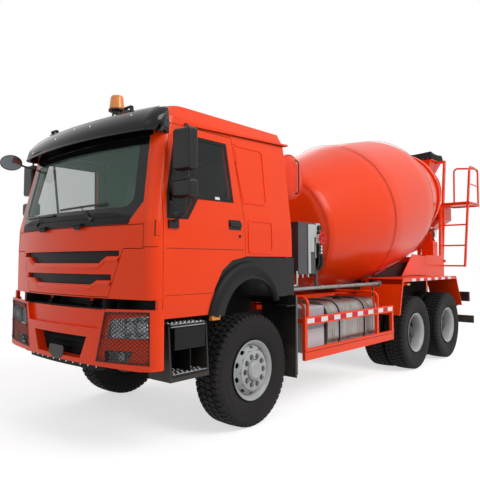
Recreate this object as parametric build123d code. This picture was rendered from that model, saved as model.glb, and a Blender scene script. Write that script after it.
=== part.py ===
from build123d import *
import os
from math import cos, radians, sin

# Concrete mixer truck, 6x4, forward-control cab. Millimetres.
# The model is laid out with y = 0 at the bumper's foremost point, z = 0 on the ground and x = 0 on the
# centre line, and is then moved so that its origin is on the ground under the middle of its box.
# +X is the truck's left side (the driver's), -Y is the front and +Z is up.

# Running gear
front_axle_y = 1514
wheelbase = 3907
bogie_spread = 1350
tyre_radius = 561
tyre_width = 314
tyre_sides = 48
rim_seat_radius = 262
rim_lip_radius = 298
rim_width = 216
rim_thickness = 14
front_wheel_x = 1020
twin_spacing = 340
rear_track = 1830
stud_circle = 142
stud_radius = 15
stud_count = 10
hub_radius = 95
spindle_radius = 42
bearing_gap = 0.1
kingpin_x = 880
kingpin_radius = 24
steer_arm = 150
tie_rod_z = 456
tie_rod_radius = 18

# Ladder frame
rail_outer_x = 430
rail_flange = 80
rail_plate = 10
rail_height = 280
frame_top_z = 1060
frame_front_y = 330
frame_rear_y = 7950
tow_eye_y = 250
tow_eye_radius = 20
coupling_wide = 140
coupling_high = 80
coupling_hole = 8.5
coupling_z = 925
subframe_height = 130
subframe_width = 80
subframe_front_y = 2620

# Cab
cab_half_width = 1200
cab_rear_y = 2200
cab_wall = 50
cab_roof_z = 3130
cab_floor_z = 1590
cab_floor = 40
firewall_y = 232
cab_bow_radius = 4630
corner_run = 110
cab_low_z = 1340
tilt_y = 145
tilt_z = 1205
tilt_pin = 22
door_low_z = 1170
door_front_y = 278
door_gap = 5
door_step = 12
glass = 10
flap_wall = 35
flap_top_z = 1966
flap_hinge_y = 15
flap_hinge_z = 1968
flap_pin = 5
belt_z = 1767
panel_gap = 6

# Bumper
bumper_half_width = 1248
bumper_low_z = 745
bumper_top_z = 1255
bumper_wall = 30
bumper_bow_radius = 5200
bumper_corner_x = 1150
bumper_side_y = 215
grille_set_back = 40

# Drum, along an axis that rises to the rear from (0, drum_y, drum_z)
drum_y = 3500
drum_z = 2094
drum_tilt = 12.4
drum_wall = 10
drum_radius = 1168
drum_front_radius = 862
drum_cone_end = 1450
drum_cylinder_end = 2975
track_at = 4200
track_width = 90
track_radius = 850
cone_at_track = 790
mouth_at = 4950
mouth_radius = 580
flange_at = -350
flange_radius = 250
roller_radius = 125
roller_width = 110
roller_angle = 35
roller_pin = 30

# Rear
chute_pivot_y = 8880
chute_hinge_z = 1900
chute_radius = 250
chute_wall = 6
chute_length = 1140
chute_tail = 120

chute_rest_tilt = 20
hopper_half_width = 450
hopper_front_y = 8190
hopper_rear_y = 8810
hopper_top_z = 3950
ladder_y = 8310
bumper_front_y = 0

mid_axle_y = front_axle_y + wheelbase
rear_axle_y = mid_axle_y + bogie_spread
trunnion_y = (mid_axle_y + rear_axle_y) / 2
frame_low_z = frame_top_z - rail_height
subframe_top_z = frame_top_z + subframe_height
twin_x = (rear_track / 2 - twin_spacing / 2, rear_track / 2 + twin_spacing / 2)
roller_reach = track_radius + roller_radius + 0.3
middle_y = (bumper_front_y + chute_pivot_y + chute_radius + 40) / 2

nodes = {}


def block(x0, x1, y0, y1, z0, z1):
    """Box between two opposite corners."""
    return Pos((x0 + x1) / 2, (y0 + y1) / 2, (z0 + z1) / 2) * Box(abs(x1 - x0), abs(y1 - y0), abs(z1 - z0))


def prism_x(points, x0, x1):
    """Outline of (y, z) points carried from x0 to x1."""
    return Pos(x0, 0, 0) * extrude(Plane.YZ * make_face(Polyline(*points, close=True)), x1 - x0, dir=(1, 0, 0))


def prism_y(points, y0, y1):
    """Outline of (x, z) points carried from y0 to y1."""
    return Pos(0, y0, 0) * extrude(Plane.XZ * make_face(Polyline(*points, close=True)), y1 - y0, dir=(0, 1, 0))


def rod(start, end, radius):
    """Round bar between two points."""
    line = Vector(*end) - Vector(*start)
    return Plane(origin=start, z_dir=line) * Cylinder(radius, line.length, align=(Align.CENTER, Align.CENTER, Align.MIN))


def rod_x(x0, x1, y, z, radius):
    """Round bar along X."""
    return rod((min(x0, x1), y, z), (max(x0, x1), y, z), radius)


def pipe(points, radius, bend):
    """Round bar along straight runs joined by arcs of one radius."""
    path = FilletPolyline(*points, radius=bend)
    return sweep(Plane(origin=path @ 0, z_dir=path % 0) * Circle(radius), path=path)


def ring_x(profile, x=0, z=0):
    """Outline of (x, radius) points turned about a line along X."""
    return Pos(x, 0, z) * revolve(make_face(Polyline(*profile, close=True)), Axis.X)


def mirrored(shape):
    """The same shape on the truck's other side."""
    return mirror(shape, about=Plane.YZ)


def both(shape):
    """A shape and its mirror image on the other side."""
    return shape + mirrored(shape)


def each_side(name, shape):
    """The left-hand piece and its mirror image, as two nodes."""
    nodes[name + "_left"] = shape
    nodes[name + "_right"] = mirrored(shape)


def shell_solid(loops, closed=False):
    """Solid with flat faces between rings of points. Open ends get a face each, or the last ring joins the first."""
    faces = []
    count = len(loops[0])
    pairs = list(zip(loops, loops[1:])) + ([(loops[-1], loops[0])] if closed else [])
    for low, high in pairs:
        for k in range(count):
            n = (k + 1) % count
            faces.append(make_face(Polyline(low[k], low[n], high[n], high[k], close=True)))
    if not closed:
        faces += [make_face(Polyline(*loop, close=True)) for loop in (loops[0], loops[-1])]
    return Solid(Shell(faces))


def closed_face(*curves):
    """Face inside a closed run of curves."""
    return make_face([edge for curve in curves for edge in curve.edges()])


def both_halves(half):
    """Close an (x, z) half outline that starts and ends on the centre line."""
    return half + [(-x, z) for x, z in reversed(half) if x > 0]


def grown(outline, plane, gap):
    """Face of an outline moved out all round by a gap."""
    return plane * offset(make_face(Polyline(*outline, close=True)), gap, kind=Kind.INTERSECTION)


# Cab outline at a few heights. Columns: height, front at the centre line, half width, rear wall.
cab_sections = [
    (1000, 20, cab_half_width, cab_rear_y),
    (belt_z, 20, cab_half_width, cab_rear_y),
    (2000, 26, 1196, cab_rear_y),
    (2800, 205, 1112, 2192),
    (2960, 262, 1088, 2188),
    (3085, 420, 1040, 2150),
    (cab_roof_z, 640, 930, 2060),
]


def cab_outline(height, front, half, rear, inset):
    """Plan of the cab at one height: bowed front, rounded corners, flat sides and back."""
    f = front + inset
    h = half - inset
    r = rear - inset
    edge_x = h - corner_run
    edge_y = f + edge_x ** 2 / (2 * cab_bow_radius)
    side_y = edge_y + corner_run
    mid_x = edge_x + corner_run * 0.72
    mid_y = edge_y + corner_run * 0.34
    back = 60
    front_arc = ThreePointArc((-edge_x, edge_y), (0, f), (edge_x, edge_y))
    left_corner = ThreePointArc((edge_x, edge_y), (mid_x, mid_y), (h, side_y))
    right_corner = ThreePointArc((-h, side_y), (-mid_x, mid_y), (-edge_x, edge_y))
    tail = Polyline((h, side_y), (h, r - back), (h - back, r), (back - h, r), (-h, r - back), (-h, side_y))
    return Plane.XY.offset(height) * closed_face(front_arc, left_corner, tail, right_corner)


def cab_body(inset):
    """Solid inside the cab's skin, moved in by a wall. The roof's two rows are lowered by the same."""
    faces = []
    for height, front, half, rear in cab_sections:
        drop = inset if height > 3000 else 0
        faces.append(cab_outline(height - drop, front, half, rear, inset))
    return loft(faces, ruled=True)


cab_outer = cab_body(0)
cab_inner = cab_body(cab_wall)
cab_skin = cab_outer - cab_inner
pane_skin = cab_outer - cab_body(glass)
flap_skin = cab_outer - cab_body(flap_wall)

# Outlines on the cab. Door and window are (y, z), the front's are (x, z) on the left half.
door_outline = [
    (door_front_y, door_low_z), (836, door_low_z), (905, 1400), (1010, 1570), (1150, 1665), (1347, 1700),
    (1340, 2060), (1235, 2886), (430, 2886), (285, 2240), (door_front_y, 1900),
]
arch_edge = [(830, door_low_z), (899, 1403), (1003, 1574), (1150, 1671), (1347, 1705)]
window_outline = [
    (330, 2035), (560, 2040), (640, 2150), (700, 2233), (1185, 2240), (1140, 2800), (480, 2800), (345, 2240),
]
windscreen_half = [(0, 1988), (925, 1988), (1050, 2170), (985, 2772), (0, 2772)]
flap_half = [(0, 1345), (700, 1345), (872, belt_z), (1085, belt_z), (1085, flap_top_z), (0, flap_top_z)]
mesh_half = [(0, 1420), (715, 1420), (850, 1760), (0, 1760)]
lower_grille_half = [(0, 1060), (620, 1060), (672, 1228), (0, 1228)]
lamp_half = [(704, 1216), (1196, 1236), (1200, 800), (588, 782)]
headlamp = [(745, 1147), (1180, 1205), (1172, 1012), (690, 985)]
foglamp = [(690, 885), (1010, 899), (960, 806), (690, 798)]
intake_half = [(0, 785), (372, 785), (462, 985), (0, 985)]

# Slots in the front flap. Columns: top, shoulder low, end half width, bottom, two half widths of the bottom.
grille_slots = [
    (1748, 1700, 830, 1638, 684, 580),
    (1540, 1488, 738, 1446, 562, 478),
]


def make_cab():
    ahead = -300
    door = prism_x(door_outline, 900, 1300)
    door_hole = Pos(900, 0, 0) * extrude(grown(door_outline, Plane.YZ, door_gap), 400, dir=(1, 0, 0))
    window = prism_x(window_outline, 900, 1300)
    flap_hole = extrude(grown(both_halves(flap_half), Plane.XZ.offset(-firewall_y), panel_gap), 600, dir=(0, -1, 0))
    screen_hole = prism_y(both_halves(windscreen_half), ahead, 700)
    hinge_y = door_front_y - door_gap

    shell = cab_skin - block(-1400, 1400, ahead, hinge_y, 900, cab_low_z - 10)
    shell -= both(door_hole)
    shell -= flap_hole + screen_hole
    under = [(hinge_y, 900), (2400, 900), (2400, 1705)] + list(reversed(arch_edge)) + [(hinge_y, door_low_z)]
    shell -= prism_x(under, -1400, 1400)
    shell += cab_inner & block(-1120, 1120, firewall_y, 2400, cab_floor_z, cab_floor_z + cab_floor)
    shell += cab_inner & block(-1400, 1400, firewall_y, firewall_y + 30, cab_low_z, flap_top_z + 20)
    shell += block(-1110, 1110, cab_rear_y - cab_wall, cab_rear_y, cab_floor_z, 1720)
    shell += cab_inner & block(-1400, 1400, 60, firewall_y + 30, flap_top_z + panel_gap, flap_top_z + 18)
    arm = prism_x([(tilt_y - 35, tilt_z - 30), (tilt_y + 45, tilt_z - 40), (330, cab_floor_z),
                   (330, cab_floor_z + 10), (firewall_y, cab_floor_z + 10), (tilt_y - 12, tilt_z + 62),
                   (tilt_y - 38, tilt_z + 30)], 330, 380)
    arm += rod_x(330, 380, tilt_y, tilt_z, tilt_pin + 26)
    arm -= rod_x(300, 420, tilt_y, tilt_z, tilt_pin + 0.5)
    gutter = prism_x([(600, 2897), (2192, 2958), (2192, 2978), (600, 2917)], 1060, 1118) - cab_outer
    lug = prism_x([(6, 1962), (24, 1962), (24, 1973), (46, 1973), (46, 1986), (14, 1986)], 326, 346)
    lug += rod_x(284, 336, flap_hinge_y, flap_hinge_z, flap_pin)
    nodes["cab_shell"] = shell + both(arm) + both(gutter) + both(lug)

    rear_step = (door - Pos(0, -door_step, 0) * door) & cab_body(22)
    each_side("door", (cab_skin & door) - window - rear_step)
    each_side("door_glass", pane_skin & window)
    nodes["windscreen"] = pane_skin & screen_hole
    flap = flap_skin & prism_y(both_halves(flap_half), ahead, 400)
    for top, shoulder, half, low, wide, narrow in grille_slots:
        flap -= prism_y(both_halves([(0, low), (narrow, low), (wide, shoulder), (half, shoulder),
                                     (half, top), (0, top)]), ahead, 400)
    knuckle = rod_x(288, 322, flap_hinge_y, flap_hinge_z, flap_pin + 5) + block(288, 322, 8, 50, 1946, 1960)
    knuckle -= rod_x(280, 330, flap_hinge_y, flap_hinge_z, flap_pin + bearing_gap)
    flap -= cab_body(6) & both(block(860, 1100, ahead, 500, belt_z - 10, belt_z + 27))
    nodes["front_flap"] = flap + both(knuckle)
    back = cab_body(flap_wall) - cab_body(flap_wall + 12)
    nodes["grille_mesh"] = back & prism_y(both_halves(mesh_half), ahead, 400)


# Sun visor in plan at four heights. Columns: height, front at the centre line, half width, rear.
visor_sections = [(2785, 62, 1120, 900), (2900, 95, 1128, 900), (3010, 190, 1112, 900), (3075, 330, 1070, 900)]


def make_visor():
    outer = loft([cab_outline(*row, 0) for row in visor_sections], ruled=True)
    inner = loft([cab_outline(*row, 12) for row in visor_sections], ruled=True)
    visor = ((outer - inner) & block(-1200, 1200, -100, 560, 2760, 3100)) - cab_outer
    nodes["sun_visor"] = visor - block(-1200, 1200, 395, 600, 2700, 2900)


def make_cab_fittings():
    floor = cab_floor_z + cab_floor
    inside = block(-1090, 1090, 262, 640, 1900, 2030)
    inside += block(-1060, 1060, 262, 420, floor, 1905)
    inside += block(-1080, 1080, 1620, 2130, floor, 2010)
    for x in (620, -620):
        inside += block(x - 230, x + 230, 900, 1400, floor, 1930)
        inside += block(x - 260, x + 260, 870, 1420, 1930, 2060)
        inside += prism_x([(1330, 2060), (1450, 2060), (1540, 2700), (1440, 2700)], x - 250, x + 250)
    lean = 30
    hub = Location((620, 690, 2230), (-lean, 0, 0))
    inside += hub * Pos(0, 0, -20) * Cylinder(28, 240, align=(Align.CENTER, Align.CENTER, Align.MAX))
    nodes["cab_interior"] = inside
    rim_section = Plane.XZ * Pos(230, 0) * RegularPolygon(17, 6)
    wheel = revolve(rim_section, Axis.Z) + Cylinder(60, 40) + Box(446, 36, 14) + Box(36, 446, 14)
    nodes["steering_wheel"] = hub * wheel
    # Beacon rings. Columns: radius, height.
    beacon = None
    at = 3020
    for radius, height in ((50, 130), (76, 125), (60, 20)):
        ring = Pos(320, 420, at + height / 2) * Cylinder(radius, height)
        beacon = ring if beacon is None else beacon + ring
        at += height
    nodes["beacon"] = beacon - cab_outer


def make_arches():
    centre = (1450, 1035)
    lower = [(2190, 1694), (2190, 1290), (1300, 1144), (840, 1144)]
    edge = [(y + 10, z - 6) for y, z in arch_edge[1:]]
    plate = prism_x(edge + lower, 1120, 1190)
    flare = rod_x(1120, 1225, *centre, 610) & prism_x(edge + lower, 1100, 1300)
    arch = plate + flare - rod_x(1000, 1400, *centre, 450)
    arch -= prism_x([(1500, 1000), (2400, 1000), (2400, 1285), (1500, 1285)], 1000, 1400)
    liner = rod_x(700, 1120, *centre, 478) - rod_x(690, 1130, *centre, 452)
    nodes["wheel_arches"] = both(arch + (liner & block(700, 1120, 900, 2060, 1285, 1560)))


def make_mirrors():
    x = 1330
    unit = Pos(x, 400, 2610) * fillet(Box(210, 120, 360).edges(), 28)
    unit += Pos(x, 400, 2270) * fillet(Box(230, 120, 150).edges(), 28)
    unit += rod((x, 420, 2330), (x, 420, 2450), 20)
    unit += pipe([(1095, 590, 2830), (1210, 560, 2845), (x, 410, 2840), (x, 410, 2770)], 11, 30)
    unit += pipe([(1190, 380, 1985), (x, 400, 2060), (x, 400, 2200)], 13, 30)
    unit += block(1185, 1216, 330, 440, 1940, 2010)
    each_side("mirror", unit - cab_outer)
    arm = pipe([(-1060, 345, 2732), (-1150, 285, 2728), (-1158, 160, 2738), (-1147, 62, 2766)], 11, 30)
    dish = Plane(origin=(-1147, 54, 2766), z_dir=(0.2, 1, -0.15)) * Cylinder(125, 36)
    nodes["front_mirror"] = arm + dish - cab_outer


def bumper_solid(front, inset, back):
    """The bumper's plan, bowed with short rounded ends, carried over its height."""
    edge_x = bumper_corner_x - inset * 0.6
    edge_y = front + inset + bumper_corner_x ** 2 / (2 * bumper_bow_radius)
    end_x = bumper_half_width - inset
    mid_x = edge_x + (end_x - edge_x) * 0.72
    side = bumper_side_y
    face = closed_face(
        ThreePointArc((-edge_x, edge_y), (0, front + inset), (edge_x, edge_y)),
        ThreePointArc((edge_x, edge_y), (mid_x, edge_y + 30), (end_x, side)),
        ThreePointArc((-end_x, side), (-mid_x, edge_y + 30), (-edge_x, edge_y)),
        Polyline((end_x, side), (end_x, back), (-end_x, back), (-end_x, side)))
    return extrude(face, 2000, dir=(0, 0, 1))


def make_bumper():
    outer = bumper_solid(0, 0, 250)
    inner = bumper_solid(0, bumper_wall, 260)
    face = both_halves([(0, bumper_low_z), (1090, bumper_low_z), (1260, 760), (1260, bumper_top_z),
                        (662, bumper_top_z - 15), (606, 1060), (0, 1060)])
    skin = (outer - inner) & prism_y(face, -50, 400)
    skin -= (outer - bumper_solid(0, 16, 260)) & both(prism_y(lamp_half, -50, 400))
    skin += outer & both(block(1207, bumper_half_width, 190, 228, bumper_top_z - 5, 1332))
    lower = bumper_solid(grille_set_back, 0, 330) - bumper_solid(grille_set_back, 25, 330)
    skin += lower & prism_y(both_halves(lower_grille_half), -50, 400)
    shelf = both_halves([(0, 1030), (612, 1030), (622, 1066), (0, 1066)])
    skin += (outer - bumper_solid(grille_set_back, 25, 330)) & prism_y(shelf, -50, 160)
    edge = both(prism_y([(606, 1056), (662, 1236), (690, 1236), (634, 1056)], -50, 160))
    skin += (outer - bumper_solid(grille_set_back, 25, 330)) & edge
    duct = prism_y(both_halves([(0, 760), (400, 760), (490, 1010), (0, 1010)]), 10, 110) & outer
    skin = skin + duct - prism_y(both_halves(intake_half), -50, 400)
    lamps = both(prism_y(headlamp, -50, 400)) + both(prism_y(foglamp, -50, 400))
    hanger = block(470, 494, 40, frame_front_y + 90, 800, 1000)
    hanger += block(rail_outer_x, 494, frame_front_y + 10, frame_front_y + 90, 850, 950)
    nodes["front_bumper"] = skin - lamps + both(hanger)
    nodes["headlamps"] = (bumper_solid(0, 10, 260) - bumper_solid(0, 60, 260)) & lamps


def make_frame():
    inside = rail_outer_x - rail_plate
    lip_x = rail_outer_x - rail_flange
    rail = block(inside, rail_outer_x, frame_front_y, frame_rear_y, frame_low_z, frame_top_z)
    for z in (frame_low_z, frame_top_z - rail_plate):
        rail += block(lip_x, rail_outer_x, frame_front_y, frame_rear_y, z, z + rail_plate)
    bracket = prism_x([(frame_front_y, frame_low_z), (frame_front_y + 200, frame_top_z), (frame_front_y + 90, 1110),
                       (tilt_y + 60, tilt_z - 5), (tilt_y, tilt_z + 45), (tilt_y - 45, tilt_z),
                       (tilt_y - 20, tilt_z - 60), (tilt_y + 40, 1000), (tilt_y + 40, 840)], 388, inside)
    frame = both(rail + bracket + rod_x(322, inside, tilt_y, tilt_z, tilt_pin))
    beam_top = frame_top_z - rail_plate
    for y in (2900, 4100, 5000, trunnion_y, 7250, frame_rear_y - 110):
        frame += block(-inside, inside, y - 50, y + 50, beam_top - 150, beam_top)
    frame += block(-inside, inside, frame_front_y, frame_front_y + 60, frame_low_z + rail_plate, 880)
    frame += block(-50, 50, tow_eye_y - 40, frame_front_y + 10, 820, 880)
    frame -= rod((0, tow_eye_y, 700), (0, tow_eye_y, 1000), tow_eye_radius)
    nodes["chassis_frame"] = frame


def make_front_axle():
    y = front_axle_y
    half = [(0, 430), (330, 430), (470, 455), (700, 480), (760, 500), (kingpin_x - 30, 510), (kingpin_x - 30, 610),
            (740, 600), (660, 575), (500, 560), (470, 566), (380, 566), (330, 550), (0, 550)]
    axle = prism_y(both_halves(half), y - 45, y + 45) + both(rod((kingpin_x, y, 495), (kingpin_x, y, 627), 50))
    nodes["front_axle"] = axle - both(rod((kingpin_x, y, 400), (kingpin_x, y, 700), kingpin_radius + bearing_gap))


def spring_pack(length, rise, thickness, width, seat):
    """Arched stack of leaves along Y, its ends above the seat by the rise, centred on the seat's face."""
    half = length / 2
    tip = 24
    section = closed_face(
        ThreePointArc((-half, rise + tip), (0, thickness), (half, rise + tip)),
        Polyline((half, rise + tip), (half, rise), (seat, 0), (-seat, 0), (-half, rise), (-half, rise + tip)))
    return Pos(-width / 2, 0, 0) * extrude(Plane.YZ * section, width, dir=(1, 0, 0))


def make_springs():
    seat_z = 566
    front_half = 750
    front = Pos(rail_outer_x - 5, front_axle_y, seat_z) * spring_pack(2 * front_half, 170, 110, 80, 120)
    for end in (-front_half, front_half):
        y = front_axle_y + end
        front += block(rail_outer_x - 45, rail_outer_x + 35, y - 35, y + 35, seat_z + 150, frame_low_z)
    shaft_z = 640
    spring_x = 510
    rear = Pos(spring_x, trunnion_y, 905) * Rot(180, 0, 0) * spring_pack(bogie_spread + 120, 130, 150, 84, 150)
    rear += block(spring_x - 50, spring_x + 50, trunnion_y - 120, trunnion_y + 120, 620, 760)
    rear += rod_x(rail_outer_x - 80, spring_x + 60, trunnion_y, shaft_z, 60)
    rear += prism_x([(trunnion_y - 160, frame_low_z + 200), (trunnion_y + 160, frame_low_z + 200),
                     (trunnion_y + 160, frame_low_z), (trunnion_y + 80, 560), (trunnion_y - 80, 560),
                     (trunnion_y - 160, frame_low_z)], rail_outer_x, rail_outer_x + 24)
    cross = rod_x(-rail_outer_x - 20, rail_outer_x + 20, trunnion_y, shaft_z + 80, 50)
    nodes["leaf_springs"] = both(front) + (both(rear) + cross)


def make_drive_axles():
    parts = []
    z = tyre_radius
    banjo = [(-210, 0), (-210, 110), (-90, 195), (90, 195), (210, 110), (210, 0)]
    for y in (mid_axle_y, rear_axle_y):
        axle = rod_x(-560, 560, y, z, 78) + Pos(0, y, 0) * ring_x(banjo, 0, z)
        axle += rod((0, y - 330, z + 10), (0, y, z + 10), 95) + rod_x(-1100, 1100, y, z, spindle_radius)
        parts.append(axle + both(block(455, 560, y - 70, y + 70, z + 40, 751)))
    nodes["drive_axles"] = parts[0] + parts[1]


def make_powertrain():
    z = tyre_radius
    train = block(-335, 335, 760, 1950, 660, 1530)
    train += block(-180, 180, 760, 1400, 620, 660)
    train += prism_x([(1950, 690), (2300, 700), (2720, 760), (2720, 990), (2300, 1120), (1950, 1180)], -210, 210)
    train += block(-338, 338, 480, 580, 890, 1500)
    for x, height in ((120, 1380), (-120, 960)):
        train += rod((x, 570, height), (x, 770, height), 40)
    train += block(-350, 350, 1860, 1940, 800, 840)
    train += rod((0, 2715, 850), (0, mid_axle_y - 310, z + 10), 52)
    train += rod((0, mid_axle_y + 195.3, z), (0, rear_axle_y - 310, z + 10), 46)
    for y in (mid_axle_y, rear_axle_y):
        train -= block(-100, 100, y - 330.3, y - 200, z - 100, z + 120)
    nodes["powertrain"] = train


# Tyre section, one side. Columns: distance from the middle plane, radius.
tyre_half = [(rim_width / 2, rim_seat_radius), (tyre_width / 2, 430), (130, tyre_radius)]


def tyre(x):
    """Many-sided tyre: flat strips between equal polygons, its bore resting on the rim's seat."""
    seat = ((rim_seat_radius + 0.2) / cos(radians(180 / tyre_sides)))
    bead, bulge, shoulder = tyre_half
    rings = [(-bead[0], seat), (-bulge[0], bulge[1]), (-shoulder[0], shoulder[1]),
             shoulder, bulge, (bead[0], seat)]
    turns = [radians(360 / tyre_sides * k) for k in range(tyre_sides)]
    loops = [[(x + at, radius * cos(a), tyre_radius + radius * sin(a)) for a in turns] for at, radius in rings]
    return shell_solid(loops, closed=True)


def rim(x, disc):
    """Rim barrel with flared lips, and a disc given as (x, radius) points about its own middle."""
    half = rim_width / 2 + 1
    flare = half + 16
    t = rim_thickness
    barrel = [(-flare, rim_lip_radius), (-half, rim_seat_radius), (half, rim_seat_radius), (flare, rim_lip_radius),
              (flare + t, rim_lip_radius), (half + 6, rim_seat_radius - t), (-half - 6, rim_seat_radius - t),
              (-flare - t, rim_lip_radius)]
    return ring_x(barrel, x, tyre_radius) + ring_x(disc, x, tyre_radius)


def studs(x, length):
    """Ring of wheel studs standing outwards from x."""
    ring = None
    for k in range(stud_count):
        a = radians(360 / stud_count * k)
        y = stud_circle * cos(a)
        stud = rod_x(x, x + length, y, tyre_radius + stud_circle * sin(a), stud_radius)
        ring = stud if ring is None else ring + stud
    return ring


def make_front_wheels():
    well = rim_seat_radius - rim_thickness + 2
    bore = spindle_radius + bearing_gap
    disc = [(-40, well), (-26, well), (78, 195), (78, 105), (62, 105), (62, 182)]
    hub = [(-62, hub_radius), (-62, bore), (100, bore), (100, 0), (112, 0), (112, 70), (70, 108), (60, hub_radius)]
    brake = [(-76, 200), (-76, 186), (40, 186), (40, hub_radius - 5), (56, hub_radius - 5), (56, 192)]
    wheel = rim(front_wheel_x, disc) + ring_x(hub, front_wheel_x, tyre_radius)
    wheel += ring_x(brake, front_wheel_x, tyre_radius) + studs(front_wheel_x + 76, 22)
    each_side("rim_front", Pos(0, front_axle_y, 0) * wheel)
    each_side("tyre_front", Pos(0, front_axle_y, 0) * tyre(front_wheel_x))


def make_rear_wheels():
    inner_x, outer_x = twin_x
    mid = (inner_x + outer_x) / 2
    reach = outer_x - mid
    well = rim_seat_radius - rim_thickness + 2
    bore = spindle_radius + bearing_gap
    disc = [(-34, well), (-20, well), (18 - reach, 176), (18 - reach, 86), (4 - reach, 86), (4 - reach, 186)]
    dished = [(-x, radius) for x, radius in disc]
    hub = [(mid - 150, hub_radius), (mid - 150, bore), (1130, bore), (1130, 0), (1165, 0), (1165, 70), (1130, 88),
           (mid - 10, 92)]
    brake = [(600, 212), (600, 196), (mid - 30, 196), (mid - 30, 85), (mid - 14, 85), (mid - 14, 212)]
    wheel = rim(outer_x, disc) + rim(inner_x, dished)
    wheel += ring_x(hub, 0, tyre_radius) + ring_x(brake, 0, tyre_radius) + studs(mid + 16, 26)
    twins = tyre(outer_x) + tyre(inner_x)
    for axle, y in (("mid", mid_axle_y), ("rear", rear_axle_y)):
        each_side("rims_" + axle, Pos(0, y, 0) * wheel)
        each_side("tyres_" + axle, Pos(0, y, 0) * twins)


def make_steering():
    y = front_axle_y
    k = kingpin_x
    arm_y = y + steer_arm
    knuckle = rod((k, y, 438), (k, y, 684), kingpin_radius)
    for z0, z1 in ((438, 489), (633, 684)):
        knuckle += rod((k, y, z0), (k, y, z1), 46) + block(k, k + 58, y - 46, y + 46, z0, z1)
    knuckle += block(k + 52, k + 58, y - 60, y + 60, 438, 684)
    knuckle += rod_x(k + 55, front_wheel_x + 95, y, tyre_radius, spindle_radius)
    knuckle += block(k - 14, k + 30, y + 30, arm_y, tie_rod_z, tie_rod_z + 24)
    knuckle += rod((k, arm_y, tie_rod_z), (k, arm_y, tie_rod_z + 24), 30)
    each_side("knuckle", knuckle)
    z = tie_rod_z - bearing_gap
    nodes["tie_rod"] = rod_x(-k, k, arm_y, z - 20, tie_rod_radius) + both(rod((k, arm_y, z - 40), (k, arm_y, z), 26))


def make_front_guards():
    steps = prism_x([(300, 1110), (760, 1110), (790, 640), (330, 640)], 960, 1240)
    steps -= prism_x([(318, 1092), (744, 1092), (770, 700), (346, 700)], 1000, 1260)
    steps += block(985, 1248, 314, 742, 1105, 1122)
    for z0, z1 in ((980, 1040), (800, 850)):
        steps += block(rail_outer_x, 970, 480, 560, z0, z1)
    flap = block(760, 1236, 2160, 2172, 390, 1182) + block(760, 1236, 1995, 2172, 1170, 1182)
    flap += block(rail_outer_x, 770, 2160, 2232, 900, 960)
    nodes["front_guards"] = both(steps) + both(flap)


def make_side_gear():
    x0, x1 = 560, 1150
    z0, z1 = 560, 1160
    tank = block(x0, x1, 2950, 4250, z0, z1)
    tank = fillet(tank.edges().filter_by(Axis.Y).sort_by(Axis.X)[-2:], 170)
    tank = fillet(tank.edges().filter_by(Axis.Y).sort_by(Axis.X)[:2], 40)
    for y in (3250, 3900):
        band = block(x0 - 6, x1 + 6, y - 25, y + 25, z0 - 6, z1 + 6)
        tank += fillet(band.edges().filter_by(Axis.Y).sort_by(Axis.X)[-2:], 175)
        tank += block(rail_outer_x, x0 + 20, y - 40, y + 40, frame_low_z, 960)
        tank += block(x0 - 40, x1 - 120, y - 40, y + 40, z0 - 46, z0 - 6)
        tank += block(x0 - 40, x0 - 6, y - 40, y + 40, z0 - 46, 960)
    battery = block(600, 1120, 2520, 2900, 600, 1120) + block(rail_outer_x, 610, 2640, 2740, 800, 900)
    nodes["fuel_tank"] = tank + battery
    can = rod((-820, 2600, 830), (-820, 3500, 830), 230) + rod((-820, 3490, 760), (-820, 3760, 700), 50)
    for y in (2840, 3240):
        can += block(-rail_outer_x, -640, y - 40, y + 40, 800, 860)
    air = None
    for x in (-700, -960):
        vessel = rod((x, 3900, 720), (x, 4600, 720), 120)
        air = vessel if air is None else air + vessel
    for y in (4050, 4450):
        air += block(-1000, -rail_outer_x, y - 30, y + 30, 790, 850)
    nodes["silencer"] = can + air


def make_side_guards():
    x0, x1 = 1208, 1248
    front, rear = 2316, 4566
    low, top = 550, 1030
    guard = block(x0, x1, front, rear, low, 676) + block(x0, x1, front, rear, 940, top)
    for y in (front, 4060, rear - 50):
        guard += block(x0, x1, y, y + 50, low, top)
    for y in (front + 25, rear - 25):
        guard += block(rail_outer_x, x0 + 5, y - 25, y + 25, 960, 1010)
    guard += pipe([(1228, 2400, 1020), (1228, 2400, 1240), (900, 2400, 1240), (900, 2400, 985)], 20, 70)
    nodes["side_guards"] = both(guard)


def make_subframe():
    x0, x1 = rail_outer_x - subframe_width, rail_outer_x
    taper = 200
    rail = prism_x([(subframe_front_y, frame_top_z), (frame_rear_y, frame_top_z), (frame_rear_y, subframe_top_z),
                    (subframe_front_y + taper, subframe_top_z), (subframe_front_y, frame_top_z + 30)], x0, x1)
    frame = both(rail)
    for y in (3400, 4500, 5600, 6700, frame_rear_y - 60):
        frame += block(-x0, x0, y - 40, y + 40, frame_top_z + 20, subframe_top_z - 20)
    nodes["mixer_subframe"] = frame


# Local frame of the drum: its Z runs up the axis to the mouth and its Y points down.
drum_frame = Plane(origin=(0, drum_y, drum_z), x_dir=(1, 0, 0),
                   z_dir=(0, cos(radians(drum_tilt)), sin(radians(drum_tilt))))
# Drum outline. Columns: radius, place along the axis.
drum_outline = [
    (300, flange_at + 75), (600, -110), (drum_front_radius, 0), (drum_radius, drum_cone_end),
    (drum_radius, drum_cylinder_end), (cone_at_track, track_at), (mouth_radius, mouth_at),
]


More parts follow.
